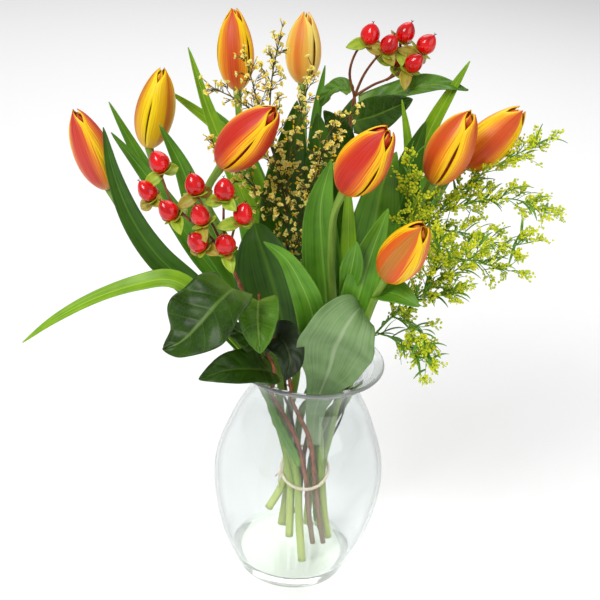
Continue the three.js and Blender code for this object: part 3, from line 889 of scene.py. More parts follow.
@dataclass
class Tie:
    """The twine round the bundle: three plies laid up into a cord, wound once and knotted."""

    height: float = 104.0
    centre_x: float = 6.0
    radius: float = 22.3
    tilt: float = 0.4
    plies: int = 3
    ply_radius: float = 0.8
    ply_offset: float = 0.75
    lay: float = 7.0
    knot: float = 200.0
    points: int = 160

    def spot(self, turn: float, lift: float, out: float) -> Vector:
        """A point by the angle round the ring, lifted along its axis and moved outwards."""
        r = self.radius + out
        flat = Vector((r * math.cos(turn), r * math.sin(turn) / math.cos(self.tilt), lift)) * MM
        placed = Matrix.Rotation(self.tilt, 3, "X") @ flat
        return placed + Vector((self.centre_x, 0, self.height)) * MM

    def build(self) -> None:
        """Wind each ply as a helix round the ring, and add the knot and its two ends."""
        bm = bmesh.new()
        twists = round(math.tau * self.radius / self.lay)
        for ply in range(self.plies):
            phase = math.tau * ply / self.plies
            points = []
            for i in range(self.points + 1):
                turn = math.tau * i / self.points
                twist = twists * turn + phase
                lift, out = self.ply_offset * math.cos(twist), self.ply_offset * math.sin(twist)
                points.append(self.spot(turn, lift, out))
            tube(bm, points, lambda u: self.ply_radius * MM, 6, 2 * self.points)
        knot = math.radians(self.knot)
        for lift, out, size in ((1.4, 1.6, 1.5), (-1.2, 1.9, 1.4), (0.2, 2.8, 1.3)):
            loop = []
            for i in range(9):
                a = math.tau * i / 8
                loop.append(self.spot(knot + 0.05 * math.cos(a), lift + 1.2 * math.sin(a), out))
            tube(bm, loop, lambda u, size=size: size * 0.6 * MM, 6, 16)
        for sway in (-1, 1):
            tail = [
                self.spot(knot + 0.03 * sway, 0, 2.5),
                self.spot(knot + 0.12 * sway, -6, 4),
                self.spot(knot + 0.2 * sway, -13, 4.5),
            ]
            tube(bm, tail, lambda u: 0.75 * MM, 6, 10)
        finish_piece(bm, "twine_wrap", [Plain.TWINE], ["twine_tie"])


# ------------------------------------------------------------------------------ the bundle


@dataclass
class Bundle:
    """How the stems pass the tie in one ring round a core, slanting the same way round."""

    vase: Vase
    tie: Tie
    stem: float = 7.5
    gap: float = 0.4
    ring_slots: int = 12
    turn_above: float = 51.0
    turn_below: float = 20.0
    spread_below: float = 1.5
    foot_height: float = 22.0
    foot_shift: float = 6.0

    @property
    def ring(self) -> float:
        """The ring's radius at the tie, where the stems nearly touch."""
        return (self.stem + 2 * self.gap) / 2 / math.sin(math.pi / self.ring_slots) + self.gap

    @property
    def core(self) -> float:
        """The core's radius at the tie."""
        return self.ring - self.stem - 2 * self.gap

    def point(
        self, angle: float, radius: float, z: float, lean: float = 1.0, hug: float = 1.0
    ) -> Vector:
        """Where a stem passes a height.

        Args:
            angle: the stem's direction at the neck, in degrees.
            radius: its distance from the middle at the tie, in mm.
            z: the height in mm.
            lean: how much further than the others its foot stands out.
            hug: under 1 keeps it closer to the middle in the neck.

        Returns:
            The point in metres.
        """
        tie, x = self.tie.height, self.tie.centre_x
        if z > tie:
            part = (z - tie) / (self.vase.neck_height - tie)
            room = self.vase.neck_radius - self.vase.wall - self.stem / 2 - 3 * self.gap
            spread, twist = room / self.ring * hug, self.turn_above
            centre = x * (1 - part)
        else:
            part = (z - tie) / (tie - self.foot_height)
            spread, twist = self.spread_below * lean, self.turn_below
            centre = x - self.foot_shift * part
        r = radius * math.sqrt(1 + (spread * spread - 1) * part * part)
        turn = math.radians(angle + self.turn_above - twist * part)
        return Vector((centre + r * math.cos(turn), r * math.sin(turn), z)) * MM

    def inside(
        self, angle: float, radius: float, foot: float, lean: float = 1.0, hug: float = 1.0
    ) -> list[Vector]:
        """A stem's route inside the vase, from a foot so many mm over the floor up to the neck."""
        low, tie, neck = self.vase.floor + foot, self.tie.height, self.vase.neck_height
        stops = (low, (low + tie) / 2, tie, (tie + neck) / 2, neck)
        return [self.point(angle, radius, z, lean, hug) for z in stops]


# ------------------------------------------------------------------------------ tulips


@dataclass
class Tulip:
    """One tulip: a stem, and a closed bloom of three outer and three inner tepals."""

    number: int
    slot: float
    foot: float
    route: Sequence[Point]
    base: Point
    tip: Point
    width: float
    petal: Petal
    turn: float = 0.0
    open: float = 0.0
    lean: float = 1.0
    hug: float = 1.0
    rows: int = 30
    columns: int = 16

    SEAT_MM: ClassVar[float] = 1.5  # how far the stem reaches into the bloom
    REACH: ClassVar[float] = 58.0  # degrees that half an outer tepal wraps round
    INNER_REACH: ClassVar[float] = 56.0
    INNER_STEP_MM: ClassVar[float] = 2.6  # how far the inner three lie inside the outer ones
    EDGE_MM: ClassVar[float] = 0.5  # how far an outer edge stands free
    FLARE_MM: ClassVar[float] = 3.0  # how far an opening tepal's tip turns out
    CREASE_MM: ClassVar[float] = 0.45
    RIPPLE_MM: ClassVar[float] = 0.3
    TIP_DIP_MM: ClassVar[float] = 1.6  # how much lower than its point a tepal's sides end
    POINT_FROM: ClassVar[float] = 0.8  # the share of the length where it starts to narrow
    LEAST_MM: ClassVar[float] = 0.5
    THICKNESS_MM: ClassVar[float] = 0.55

    def build(self, bundle: Bundle) -> None:
        """Build the stem and the bloom."""
        self.build_stem(bundle)
        self.build_bloom()

    def build_stem(self, bundle: Bundle) -> None:
        """The stem, thickest at its straight-cut foot and swelling again under the bloom."""
        base, tip = over(self.base), over(self.tip)
        inside = bundle.inside(self.slot, bundle.ring, self.foot, self.lean, self.hug)
        end = base + (tip - base).normalized() * self.SEAT_MM * MM
        route = [*inside, *(over(p) for p in self.route), end]
        half = bundle.stem / 2 * MM

        def radius(u: float) -> float:
            """Swell just under the bloom."""
            return half * (1.0 - 0.16 * ease(0.25, 0.85, u) + 0.22 * ease(0.96, 1.0, u))

        bm = bmesh.new()
        tube(bm, route, radius, 14, 72, 0, 1)
        name, replaced = f"tulip_{self.number}_stem", [f"tulip_stem_{self.number}"]
        finish_piece(bm, name, [Plain.STEM, Plain.CUT], replaced)

    def tepal(self, bm: bmesh.types.BMesh, turn: float, inner: bool) -> None:
        """Add one tepal: a cupped pointed oval, wrapped round the bloom.

        Args:
            bm: the mesh to add to.
            turn: its direction round the bloom, in radians.
            inner: whether it belongs to the inner three.
        """
        base, tip = over(self.base), over(self.tip)
        axis = tip - base
        basis = UP.rotation_difference(axis.normalized()).to_matrix()
        half = self.width / 2 * MM
        sway = math.sin(turn * 3 + self.number)
        length = axis.length * (0.97 if inner else 1.0 + 0.015 * sway)
        reach = math.radians(self.INNER_REACH if inner else self.REACH + 3 * sway)

        def place(v: float, u: float) -> Vector:
            """Wrap the flat oval round the bloom, with its edges free and its tip drawn in."""
            t = 0.5 - 0.5 * math.cos(math.pi * u)
            body = math.sin(math.pi * (0.012 + (0.97 if inner else 0.965) * t) ** 0.8) ** OUTLINE
            point = 1 - (max(t - self.POINT_FROM, 0) / (1 - self.POINT_FROM)) ** 2.0
            wide = reach * (0.14 + 0.86 * point) * (1 + 0.12 * ease(0.5, 0.85, t))
            free = ease(0.02, 0.2, t) * (1 - ease(0.84, 0.99, t))
            level = half * body - (self.INNER_STEP_MM * MM * free if inner else 0.0)
            edge = 0.0 if inner else (self.EDGE_MM + self.open) * MM * abs(v) ** 3 * free
            crease = -self.CREASE_MM * MM * math.exp(-((v / 0.13) ** 2)) * ease(0.1, 0.5, t)
            wave = math.sin(8 * t + 5 * v + turn * 2) * ease(0.3, 0.8, abs(v)) * free
            flare = 0.0 if inner else self.open * self.FLARE_MM * MM * ease(0.75, 1.0, t)
            bumps = edge + crease + self.RIPPLE_MM * MM * wave + flare
            r = max(level + bumps, self.LEAST_MM * MM)
            a = turn + wide * v + 0.05 * sway * t
            along = length * t - self.TIP_DIP_MM * MM * v * v * ease(0.7, 0.95, t)
            return base + basis @ Vector((r * math.cos(a), r * math.sin(a), along))

        bend_grid(bm, self.columns, self.rows, place, (self.width * MM * 1.1, length), 0)

    def build_bloom(self) -> None:
        """The bloom's six tepals, the inner three set between the outer three."""
        bm = bmesh.new()
        for i in range(3):
            self.tepal(bm, math.radians(self.turn + 60 + 120 * i), True)
        for i in range(3):
            self.tepal(bm, math.radians(self.turn + 120 * i), False)
        name, replaced = f"tulip_{self.number}_bloom", [f"tulip_bloom_{self.number}"]
        wall = self.THICKNESS_MM * MM
        finish_piece(bm, name, [self.petal], replaced, wall)


TULIPS = (
    Tulip(1, 165, 22, ((-50, 0, 14), (-98, -7, 46), (-136, -8, 84), (-161, -4, 114)),
          (-182, 0, 147), (-209, -8, 215), 31, Petal.ROSE, turn=245),
    Tulip(2, 135, 46, ((-80, 28, 40), (-122, 46, 92), (-148, 62, 134)),
          (-159, 70, 161), (-148, 74, 233), 34, Petal.YELLOW, turn=200, lean=2.5),
    Tulip(3, 105, 20, ((-46, 44, 56), (-68, 70, 128), (-80, 88, 186)),
          (-84, 95, 213), (-92, 104, 284), 32, Petal.ORANGE, turn=262),
    Tulip(4, 75, 12, ((-10, 52, 64), (-18, 78, 140), (-24, 94, 200)),
          (-27, 99, 223), (-29, 105, 286), 31, Petal.PEACH, turn=250),
    Tulip(5, 195, 1, ((-50, -24, 48), (-78, -34, 116), (-95, -42, 166)),
          (-84, -45, 193), (-43, -60, 249), 37, Petal.SCARLET, turn=214, open=0.25),
    Tulip(6, 285, 14, ((17, -52, 60), (10, -60, 130), (9, -67, 170)),
          (15, -71, 191), (43, -92, 251), 38, Petal.SCARLET, turn=234, open=0.35, hug=0.75),
    Tulip(7, 345, 10, ((43, -19, 54), (64, -22, 124), (80, -22, 168)),
          (88, -22, 186), (110, -30, 251), 36, Petal.ORANGE, turn=212, open=0.2),
    Tulip(8, 15, 8, ((44, 16, 48), (72, 20, 116), (98, 17, 166)),
          (116, 15, 188), (157, 15, 242), 35, Petal.ORANGE, turn=262, open=0.3),
    Tulip(9, 315, 16, ((30, -52, 24), (40, -76, 68), (47, -90, 108)),
          (54, -97, 132), (75, -126, 190), 34, Petal.AMBER, turn=232, open=0.15),
)


# ------------------------------------------------------------------------------ leaves


@dataclass
class Leaf:
    """A leaf along a route: channelled at its midrib, widest at its belly, drawn to a point."""

    name: str
    width: float
    tone: Tone
    route: Sequence[Point]
    face: Point = (0, -1, 0.35)
    fold: float = 0.35
    belly: float = 0.43
    base: float = 0.12
    twist: float = 0.0
    ripple: float = 1.0
    waves: float = 2.0
    columns: int = 16
    rows: int = 48

    NETTED_GRID: ClassVar[tuple[int, int]] = (24, 72)
    QUILT_MM: ClassVar[float] = 1.2  # how far a netted leaf swells between its side veins
    RIB_MM: ClassVar[float] = 0.35  # how deep the midrib lies
    TIP_MM: ClassVar[float] = 0.3  # half the width that is left at the tip
    THICKNESS_MM: ClassVar[float] = 0.7

    def build(self) -> None:
        """Bend a grid along the route, and quilt it between the veins where it has side veins."""
        route = Route([over(p) for p in self.route])
        face = Vector(self.face).normalized()
        power = math.log(0.43) / math.log(self.belly)
        netted = self.tone.value.netted
        phase = len(self.name) * 1.7

        def place(v: float, u: float) -> Vector:
            """Give each spot its place across the leaf."""
            tangent = route.tangent(u)
            up = (face - tangent * face.dot(tangent)).normalized()
            up = Matrix.Rotation(math.radians(self.twist) * u, 3, tangent) @ up
            side = tangent.cross(up).normalized()
            lift = math.sin(math.pi * (self.base + (1 - self.base) * u**power))
            half = (self.width / 2 * max(lift, 0.0) ** 0.8 + self.TIP_MM) * MM
            cup = self.fold * half * (abs(v) ** 1.6)
            edge = ease(0.35, 1.0, abs(v)) * math.sin(math.pi * u)
            wave = self.ripple * MM * edge * math.sin(math.tau * self.waves * u + phase + 1.3 * v)
            rib = -self.RIB_MM * MM * math.exp(-((v / 0.07) ** 2)) * (1 - u)
            if netted:
                saw = abs((u * netted - VEIN_SLANT * abs(v)) % 1.0 - 0.5) * 2
                inside = ease(0, 0.2, 1 - abs(v)) * ease(0, 0.2, abs(v))
                rib += self.QUILT_MM * MM * (1 - saw * saw) * inside
            return route.at(u) + side * (v * half) + up * (cup + wave + rib)

        bm = bmesh.new()
        columns, rows = self.NETTED_GRID if netted else (self.columns, self.rows)
        bend_grid(bm, columns, rows, place, (self.width * MM, route.length))
        name, wall = f"{self.name}_blade", self.THICKNESS_MM * MM
        finish_piece(bm, name, [self.tone], [self.name], wall)


TULIP_LEAVES = (
    Leaf("tulip_leaf_front_broad", 62, Tone.WAXY,
         ((12, -19, -80), (10, -27, -50), (11, -36, -23), (15, -47, 2), (18, -64, 27),
          (20, -83, 57), (23, -97, 75), (26, -100, 86), (32, -94, 95), (38, -78, 95)),
         fold=0.25, belly=0.72, base=0.04, ripple=2.0, columns=28, rows=72),
    Leaf("tulip_leaf_left_long", 22, Tone.DARK,
         ((-42, -26, 0), (-69, -24, 32), (-104, -24, 71), (-136, -22, 98), (-158, -20, 128),
          (-174, -20, 167), (-183, -22, 208)), (0.5, -1, 0.3), twist=-20),
    Leaf("tulip_leaf_drooping", 17, Tone.LIGHT,
         ((-28, -24, -16), (-64, -34, 32), (-96, -36, 68), (-122, -38, 84), (-150, -40, 78),
          (-186, -42, 62), (-220, -46, 40), (-246, -50, 18)), (0.2, -0.6, 0.8), fold=0.3, twist=15),
    Leaf("tulip_leaf_left_inner", 24, Tone.MID,
         ((-32, -12, 22), (-50, -12, 54), (-78, -10, 94), (-103, -8, 134), (-121, -8, 177),
          (-139, -10, 210)), (0.4, -1, 0.2)),
    Leaf("tulip_leaf_left_middle", 18, Tone.MID,
         ((-46, 4, 30), (-62, 6, 48), (-97, 6, 83), (-129, 6, 129), (-157, 6, 166), (-181, 4, 195)),
         (0.4, -1, 0.3)),
    Leaf("tulip_leaf_left_back", 14, Tone.MID,
         ((-70, 36, 40), (-100, 36, 68), (-138, 34, 126), (-169, 32, 178), (-188, 32, 212)),
         (0.5, -1, 0)),
    Leaf("tulip_leaf_upper_left", 15, Tone.LIGHT,
         ((-32, 28, 44), (-52, 38, 95), (-80, 50, 150), (-106, 60, 203), (-126, 64, 256)),
         (0.6, -1, 0)),
    Leaf("tulip_leaf_back_rolled", 16, Tone.LIGHT,
         ((-34, 62, 48), (-46, 72, 80), (-66, 88, 134), (-94, 101, 168), (-124, 106, 188),
          (-147, 108, 202)), (0.3, -1, 0.5), fold=0.7),
    Leaf("tulip_leaf_front_left", 25, Tone.MID,
         ((2, -52, 20), (4, -72, 54), (-2, -85, 90), (-13, -94, 119), (-27, -99, 142),
          (-44, -100, 154)),
         (-0.2, -1, 0.4), twist=15),
    Leaf("tulip_leaf_front_right", 27, Tone.MID,
         ((26, -60, 64), (33, -76, 92), (37, -82, 120), (42, -84, 150), (50, -84, 184)),
         (-0.2, -1, 0.2)),
    Leaf("tulip_leaf_front_curled", 18, Tone.MID,
         ((24, -68, 96), (26, -80, 120), (27, -90, 142), (28, -93, 158)), (0, -1, 0.1), belly=0.6),
    Leaf("tulip_leaf_front_low", 24, Tone.MID,
         ((49, -72, 104), (56, -88, 114), (66, -102, 119), (81, -112, 116)), (-0.2, -0.6, 1)),
    Leaf("tulip_leaf_centre_dark", 58, Tone.DARK,
         ((-12, -28, 10), (-22, -38, 44), (-33, -44, 84), (-43, -44, 112), (-51, -38, 130),
          (-55, -28, 138)), (-0.3, -1, 0.3), belly=0.6),
    Leaf("tulip_leaf_centre_tall", 32, Tone.MID,
         ((12, -36, 46), (10, -44, 80), (2, -47, 130), (-2, -50, 170), (3, -52, 208)),
         (-0.1, -1, 0.1)),
    Leaf("tulip_leaf_centre_slim", 13, Tone.LIGHT,
         ((26, -44, 70), (24, -50, 124), (21, -50, 160), (18, -50, 190)), (0.1, -1, 0)),
    Leaf("tulip_leaf_inner_left", 38, Tone.DARK,
         ((-16, 12, 60), (-32, 20, 100), (-34, 26, 140), (-31, 30, 182), (-29, 30, 228)),
         (0, -1, 0.1)),
    Leaf("tulip_leaf_inner_right", 40, Tone.DARK,
         ((4, 6, 64), (7, 8, 108), (1, 12, 152), (-5, 14, 186), (-11, 16, 224)), (0.2, -1, 0.1)),
    Leaf("tulip_leaf_top_slim", 11, Tone.MID,
         ((-6, 54, 90), (-11, 66, 140), (-12, 80, 200), (-8, 84, 245)), (0.2, -1, 0)),
    Leaf("tulip_leaf_right_broad", 44, Tone.MID,
         ((28, -22, 66), (40, -36, 110), (43, -40, 152), (46, -42, 188), (54, -42, 216)),
         (0.1, -1, 0.2)),
    Leaf("tulip_leaf_right_slim", 11, Tone.LIGHT,
         ((52, 18, 80), (66, 14, 130), (72, 12, 172), (67, 12, 206), (57, 10, 243)), (-0.4, -1, 0)),
    Leaf("tulip_leaf_right_middle", 30, Tone.DARK,
         ((44, -6, 66), (58, -6, 116), (65, -4, 154), (70, 0, 193), (78, 2, 229)), (-0.3, -1, 0.1)),
    Leaf("tulip_leaf_right_tall", 17, Tone.LIGHT,
         ((46, 28, 70), (64, 30, 110), (74, 32, 160), (86, 32, 214), (98, 30, 246), (110, 28, 275)),
         (-0.5, -1, 0.1)),
    Leaf("tulip_leaf_back_left", 38, Tone.MID,
         ((-24, 34, 10), (-44, 66, 60), (-64, 92, 118), (-88, 112, 160), (-112, 122, 186)),
         (-0.5, 1, 0.3)),
    Leaf("tulip_leaf_back_middle", 42, Tone.DARK,
         ((4, 34, 8), (8, 70, 60), (8, 94, 120), (12, 108, 172), (22, 116, 210)), (0, 1, 0.3)),
    Leaf("tulip_leaf_back_right", 38, Tone.MID,
         ((24, 30, 12), (50, 54, 60), (76, 68, 110), (102, 74, 152), (124, 72, 180)),
         (0.5, 1, 0.3)),
)

HYPERICUM_LEAVES = (
    Leaf("hypericum_leaf_front_large", 58, Tone.BUSH,
         ((-66, -84, 104), (-76, -98, 98), (-89, -109, 83), (-103, -115, 68), (-117, -116, 60)),
         (-0.3, -0.7, 0.6), 0.32, base=0.2, ripple=6.0, waves=1.7),
    Leaf("hypericum_leaf_front_low", 36, Tone.BUSH,
         ((-30, -60, 16), (-46, -84, 31), (-66, -102, 38), (-88, -110, 32)),
         (0, -0.6, 0.8), 0.3, base=0.2, ripple=2.5),
    Leaf("hypericum_leaf_front_folded", 34, Tone.YOUNG,
         ((-46, -70, 88), (-45, -86, 84), (-43, -100, 75), (-40, -108, 60)),
         (0, -0.7, 0.8), 0.5, base=0.25, ripple=3.5, waves=1.5),
    Leaf("hypericum_leaf_front_narrow", 22, Tone.BUSH,
         ((-38, -58, 32), (-49, -72, 52), (-62, -84, 66), (-77, -90, 72)),
         (0.3, -1, 0.4), base=0.2),
    Leaf("hypericum_leaf_front_dark", 30, Tone.NIGHT,
         ((-30, -64, 52), (-22, -82, 58), (-16, -96, 50), (-18, -102, 34)),
         (0.2, -1, 0.5), base=0.25, ripple=3.0),
    Leaf("hypericum_leaf_top_long", 23, Tone.YOUNG,
         ((23, 42, 228), (38, 38, 233), (60, 32, 244), (86, 30, 252), (112, 28, 250)),
         (-0.2, -0.5, 1), base=0.15),
    Leaf("hypericum_leaf_top_broad", 30, Tone.BUSH,
         ((21, 38, 212), (36, 28, 221), (51, 20, 232), (66, 14, 243)), (-0.2, -1, 0.4), base=0.2),
    Leaf("hypericum_leaf_top_small", 15, Tone.YOUNG,
         ((15, 46, 234), (8, 49, 238), (-3, 51, 231), (-9, 51, 218)), (0, -0.6, 1), base=0.2),
    Leaf("hypericum_leaf_top_dark", 22, Tone.BUSH,
         ((14, 30, 184), (10, 25, 202), (3, 20, 215), (-6, 16, 226)), (0, -1, 0.3), base=0.2),
)


@dataclass
class Sheath:
    """A narrow leaf that stands in the vase round the outside of the stems, tie to neck."""

    name: str
    angle: float
    tone: Tone
    width: float
    low: float
    slack: float
    jag: float

    def build(self, bundle: Bundle) -> None:
        """Lay the leaf along the bundle, narrow where it passes the neck, with a torn edge."""
        top, neck = bundle.vase.height + 4, bundle.vase.neck_height
        points = []
        for i in range(7):
            z = self.low + (top - self.low) * i / 6
            at = bundle.point(self.angle, bundle.ring, min(z, neck))
            away = Vector((at.x, at.y, 0)).normalized()
            out = self.slack * math.sin(math.pi * (z - self.low) / (neck - self.low))
            flare = max(z - neck, 0) * 0.35
            points.append(Vector((at.x, at.y, z * MM)) + away * (1.2 + max(out, 0) + flare) * MM)
        route = Route(points)

        def place(v: float, u: float) -> Vector:
            """Face outwards, and fold in towards the stems at both edges."""
            at, along = route.at(u), route.tangent(u)
            away = Vector((at.x, at.y, 0)).normalized()
            side = along.cross(away).normalized()
            half = self.width / 2 * math.sin(math.pi * (0.08 + 0.8 * u)) ** 0.7
            tear = self.jag * (abs((9 * u + 0.3 * v) % 1.0 - 0.5) - 0.25) * abs(v)
            return at + side * v * (half + tear) * MM - away * 0.8 * v * v * MM

        bm = bmesh.new()
        bend_grid(bm, 8, 40, place, (self.width * MM, route.length))
        finish_piece(bm, self.name, [self.tone], (), 0.5 * MM)


SHEATHS = (
    Sheath("sheath_left", 210, Tone.MID, 12, 116, 7.0, 3.5),
    Sheath("sheath_right", 331, Tone.NIGHT, 7, 122, 4.0, 1.0),
)


# ------------------------------------------------------------------------------ hypericum


@dataclass
class Hypericum:
    """A woody spray: a jointed stem, forked twigs, and glossy berries that sit on leafy sepals."""

    name: str
    slot: float
    foot: float
    stem: Sequence[Point]
    twigs: Sequence[Sequence[Point]] = ()
    berries: Sequence[Point] = ()
    thickness: float = 5.0
    twig: float = 2.6
    stalk: float = 1.8
    width: float = 16.5
    length: float = 19.0

    KNEES: ClassVar[tuple[float, ...]] = (0.06, 0.15, 0.26, 0.38, 0.52, 0.66, 0.8, 0.93)
    KNEE_MM: ClassVar[float] = 0.75  # how far a joint swells
    SEPALS: ClassVar[int] = 5

    def build(self, bundle: Bundle) -> None:
        """Build the wood first, then the berries and their sepals."""
        bm = bmesh.new()
        inside = bundle.inside(self.slot, bundle.ring, self.foot)
        route = [*inside, *(over(p) for p in self.stem)]

        def radius(u: float) -> float:
            """The stem tapers, and swells at every joint where leaves were stripped."""
            swell = sum(math.exp(-(((u - k) / 0.006) ** 2)) for k in self.KNEES)
            return (self.thickness / 2 * (1 - 0.45 * u) + self.KNEE_MM * swell) * MM

        def thin(u: float) -> float:
            """A twig tapers less than the stem."""
            return self.twig / 2 * (1 - 0.3 * u) * MM

        path = tube(bm, route, radius, 10, 200)
        for i, knee in enumerate(self.KNEES[1:6]):
            self.stub(bm, path, knee, i * 2.2)
        for points in self.twigs:
            tube(bm, [over(p) for p in points], thin, 7, 14, 1)
        heart = Vector(self.stem[-1])
        red, green = bmesh.new(), bmesh.new()
        for i, place in enumerate(self.berries):
            outward = (Vector(place) - heart).normalized()
            outward = (outward + Vector((0, -0.25, 0.45))).normalized()
            self.berry(red, over(place), outward, i)
            self.sepals(green, over(place), outward, i)
            start = over(place) - outward * self.length / 2 * MM
            near = min((over(p) for t in self.twigs for p in t), key=lambda p: (p - start).length)
            bend = (near + start) / 2 + Vector((0, 0, -1.5 * MM))
            end = start + outward * 2 * MM
            tube(bm, [near, bend, end], lambda u: self.stalk / 2 * MM, 6, 6, 1)
            swing = beside(outward, 2.1 * i)
            for turn in (0.0, 2.6):
                turned = Matrix.Rotation(turn, 3, outward) @ swing
                way = turned - outward * 0.15 + Vector((0, -0.3, 0))
                self.bract(green, start.lerp(near, 0.3), way.normalized(), i + int(turn))
        finish_piece(bm, f"{self.name}_wood", [Plain.BARK, Plain.TWIG], [self.name])
        if self.berries:
            shiny, leafy = [Plain.BERRY, Plain.STYLE], [Plain.SEPAL, Plain.BLUSHED]
            finish_piece(red, f"{self.name}_berries", shiny)
            finish_piece(green, f"{self.name}_sepals", leafy, (), 0.5 * MM)

    def stub(self, bm: bmesh.types.BMesh, path: Route, u: float, turn: float) -> None:
        """A short snag where a leaf stalk was stripped off."""
        at, along = path.at(u), path.tangent(u)
        side = beside(along, turn)
        end = at + side * 3.4 * MM + along * 1.2 * MM
        tube(bm, [at, (at + end) / 2, end], lambda t: 0.7 * MM, 6, 3)

    def berry(self, bm: bmesh.types.BMesh, centre: Vector, outward: Vector, index: int) -> None:
        """A glossy berry, a little three-sided, with the dried styles on its tip."""
        half = outward * self.length / 2 * MM
        start, end = centre - half, centre + half
        size = 1 - 0.09 * ((index * 7) % 4) / 3
        verts = egg(bm, start, end, self.width * size * MM, 0.8, (20, 14))
        one = outward.orthogonal().normalized()
        other = outward.cross(one)
        for vert in verts:
            away = vert.co - centre
            turn = math.atan2(away.dot(other), away.dot(one))
            flat = away - outward * away.dot(outward)
            vert.co += flat * 0.035 * math.cos(3 * turn + index)
        before = set(bm.faces)
        for k in range(3):
            side = beside(outward, math.tau * k / 3)
            tip = end + outward * 1.8 * MM + side * 1.4 * MM
            style = [end - outward * MM, end + outward * MM, tip]
            tube(bm, style, lambda u: (0.42 - 0.2 * u) * MM, 5, 4)
        for face in set(bm.faces) - before:
            face.material_index = 1

    def sepals(self, bm: bmesh.types.BMesh, centre: Vector, outward: Vector, index: int) -> None:
        """The five leafy sepals that hold a berry, each as long as half of it."""
        foot = centre - outward * self.length * 0.46 * MM
        for k in range(self.SEPALS):
            side = beside(outward, math.tau * (k + 0.3 * index) / self.SEPALS)
            span = (10.5 if k % 2 else 8.5) * MM

            def place(v: float, u: float, side: Vector = side, span: float = span) -> Vector:
                """Cup the sepal under the berry and turn its tip out."""
                wide = 3.4 * MM * math.sin(math.pi * (0.1 + 0.9 * u)) ** 0.7 + 0.15 * MM
                rise = (2.6 * u * u - 0.3 + 0.25 * v * v) * MM
                sideways = outward.cross(side) * v * wide
                return foot + side * (MM + span * u) + sideways + outward * rise

            bend_grid(bm, 6, 8, place, (6 * MM, span), (k + index) % 2)

    def bract(self, bm: bmesh.types.BMesh, foot: Vector, way: Vector, index: int) -> None:
        """A small oval leaf at a fork of the twigs, folded along its midrib and arched down."""
        span = (14.0 + 2.5 * (index % 3)) * MM
        side = way.cross(Vector((0, -0.9, 0.45))).normalized()
        up = side.cross(way).normalized()

        def place(v: float, u: float) -> Vector:
            """Widest in its middle, with its edges up and its tip down."""
            wide = 5.2 * MM * math.sin(math.pi * (0.06 + 0.94 * u)) ** 0.8 + 0.15 * MM
            rise = 0.4 * abs(v) * wide - 0.3 * span * u * u
            return foot + way * span * u + side * v * wide + up * rise

        bend_grid(bm, 8, 10, place, (9 * MM, span), index % 2)


SPRAY_LEFT = Hypericum(
    "hypericum_spray_left", 225, 19,
    ((-29, -48, 12), (-41, -60, 43), (-52, -70, 77), (-61, -78, 104), (-70, -83, 125)),
    (
        ((-70, -83, 125), (-84, -83, 144), (-103, -81, 158)),
        ((-103, -81, 158), (-118, -78, 170), (-129, -72, 192)),
        ((-112, -80, 165), (-126, -77, 168), (-134, -75, 172)),
        ((-70, -83, 125), (-82, -82, 150), (-99, -77, 178)),
        ((-74, -83, 135), (-77, -81, 158), (-78, -80, 178)),
        ((-72, -83, 128), (-70, -83, 146), (-67, -82, 162)),
    ),
    (
        (-131, -70, 201), (-139, -75, 178), (-121, -84, 167), (-102, -75, 187), (-78, -80, 187),
        (-95, -92, 169), (-62, -82, 169), (-96, -97, 148), (-74, -96, 148),
    ),
)
SPRAY_RIGHT = Hypericum(
    "hypericum_spray_right", 45, 21, ((6, 26, 69), (11, 33, 145), (17, 41, 200), (19, 44, 232)),
    (
        ((19, 44, 232), (13, 42, 252), (17, 40, 272), (26, 38, 284)),
        ((19, 44, 232), (25, 41, 252), (33, 36, 268), (40, 32, 278)),
        ((19, 44, 232), (34, 42, 244), (47, 38, 253), (52, 38, 266)),
        ((44, 39, 250), (56, 34, 260), (66, 34, 268)),
    ),
    ((27, 38, 288), (43, 30, 283), (56, 42, 291), (74, 38, 284), (52, 44, 270), (65, 28, 270)),
)
SHORT_STEM = Hypericum(
    "hypericum_stem_short", 255, 15, ((-15, -46, 2), (-32, -54, 45), (-44, -60, 78), (-46, -62, 90))
)


# ------------------------------------------------------------------------------ filler sprays


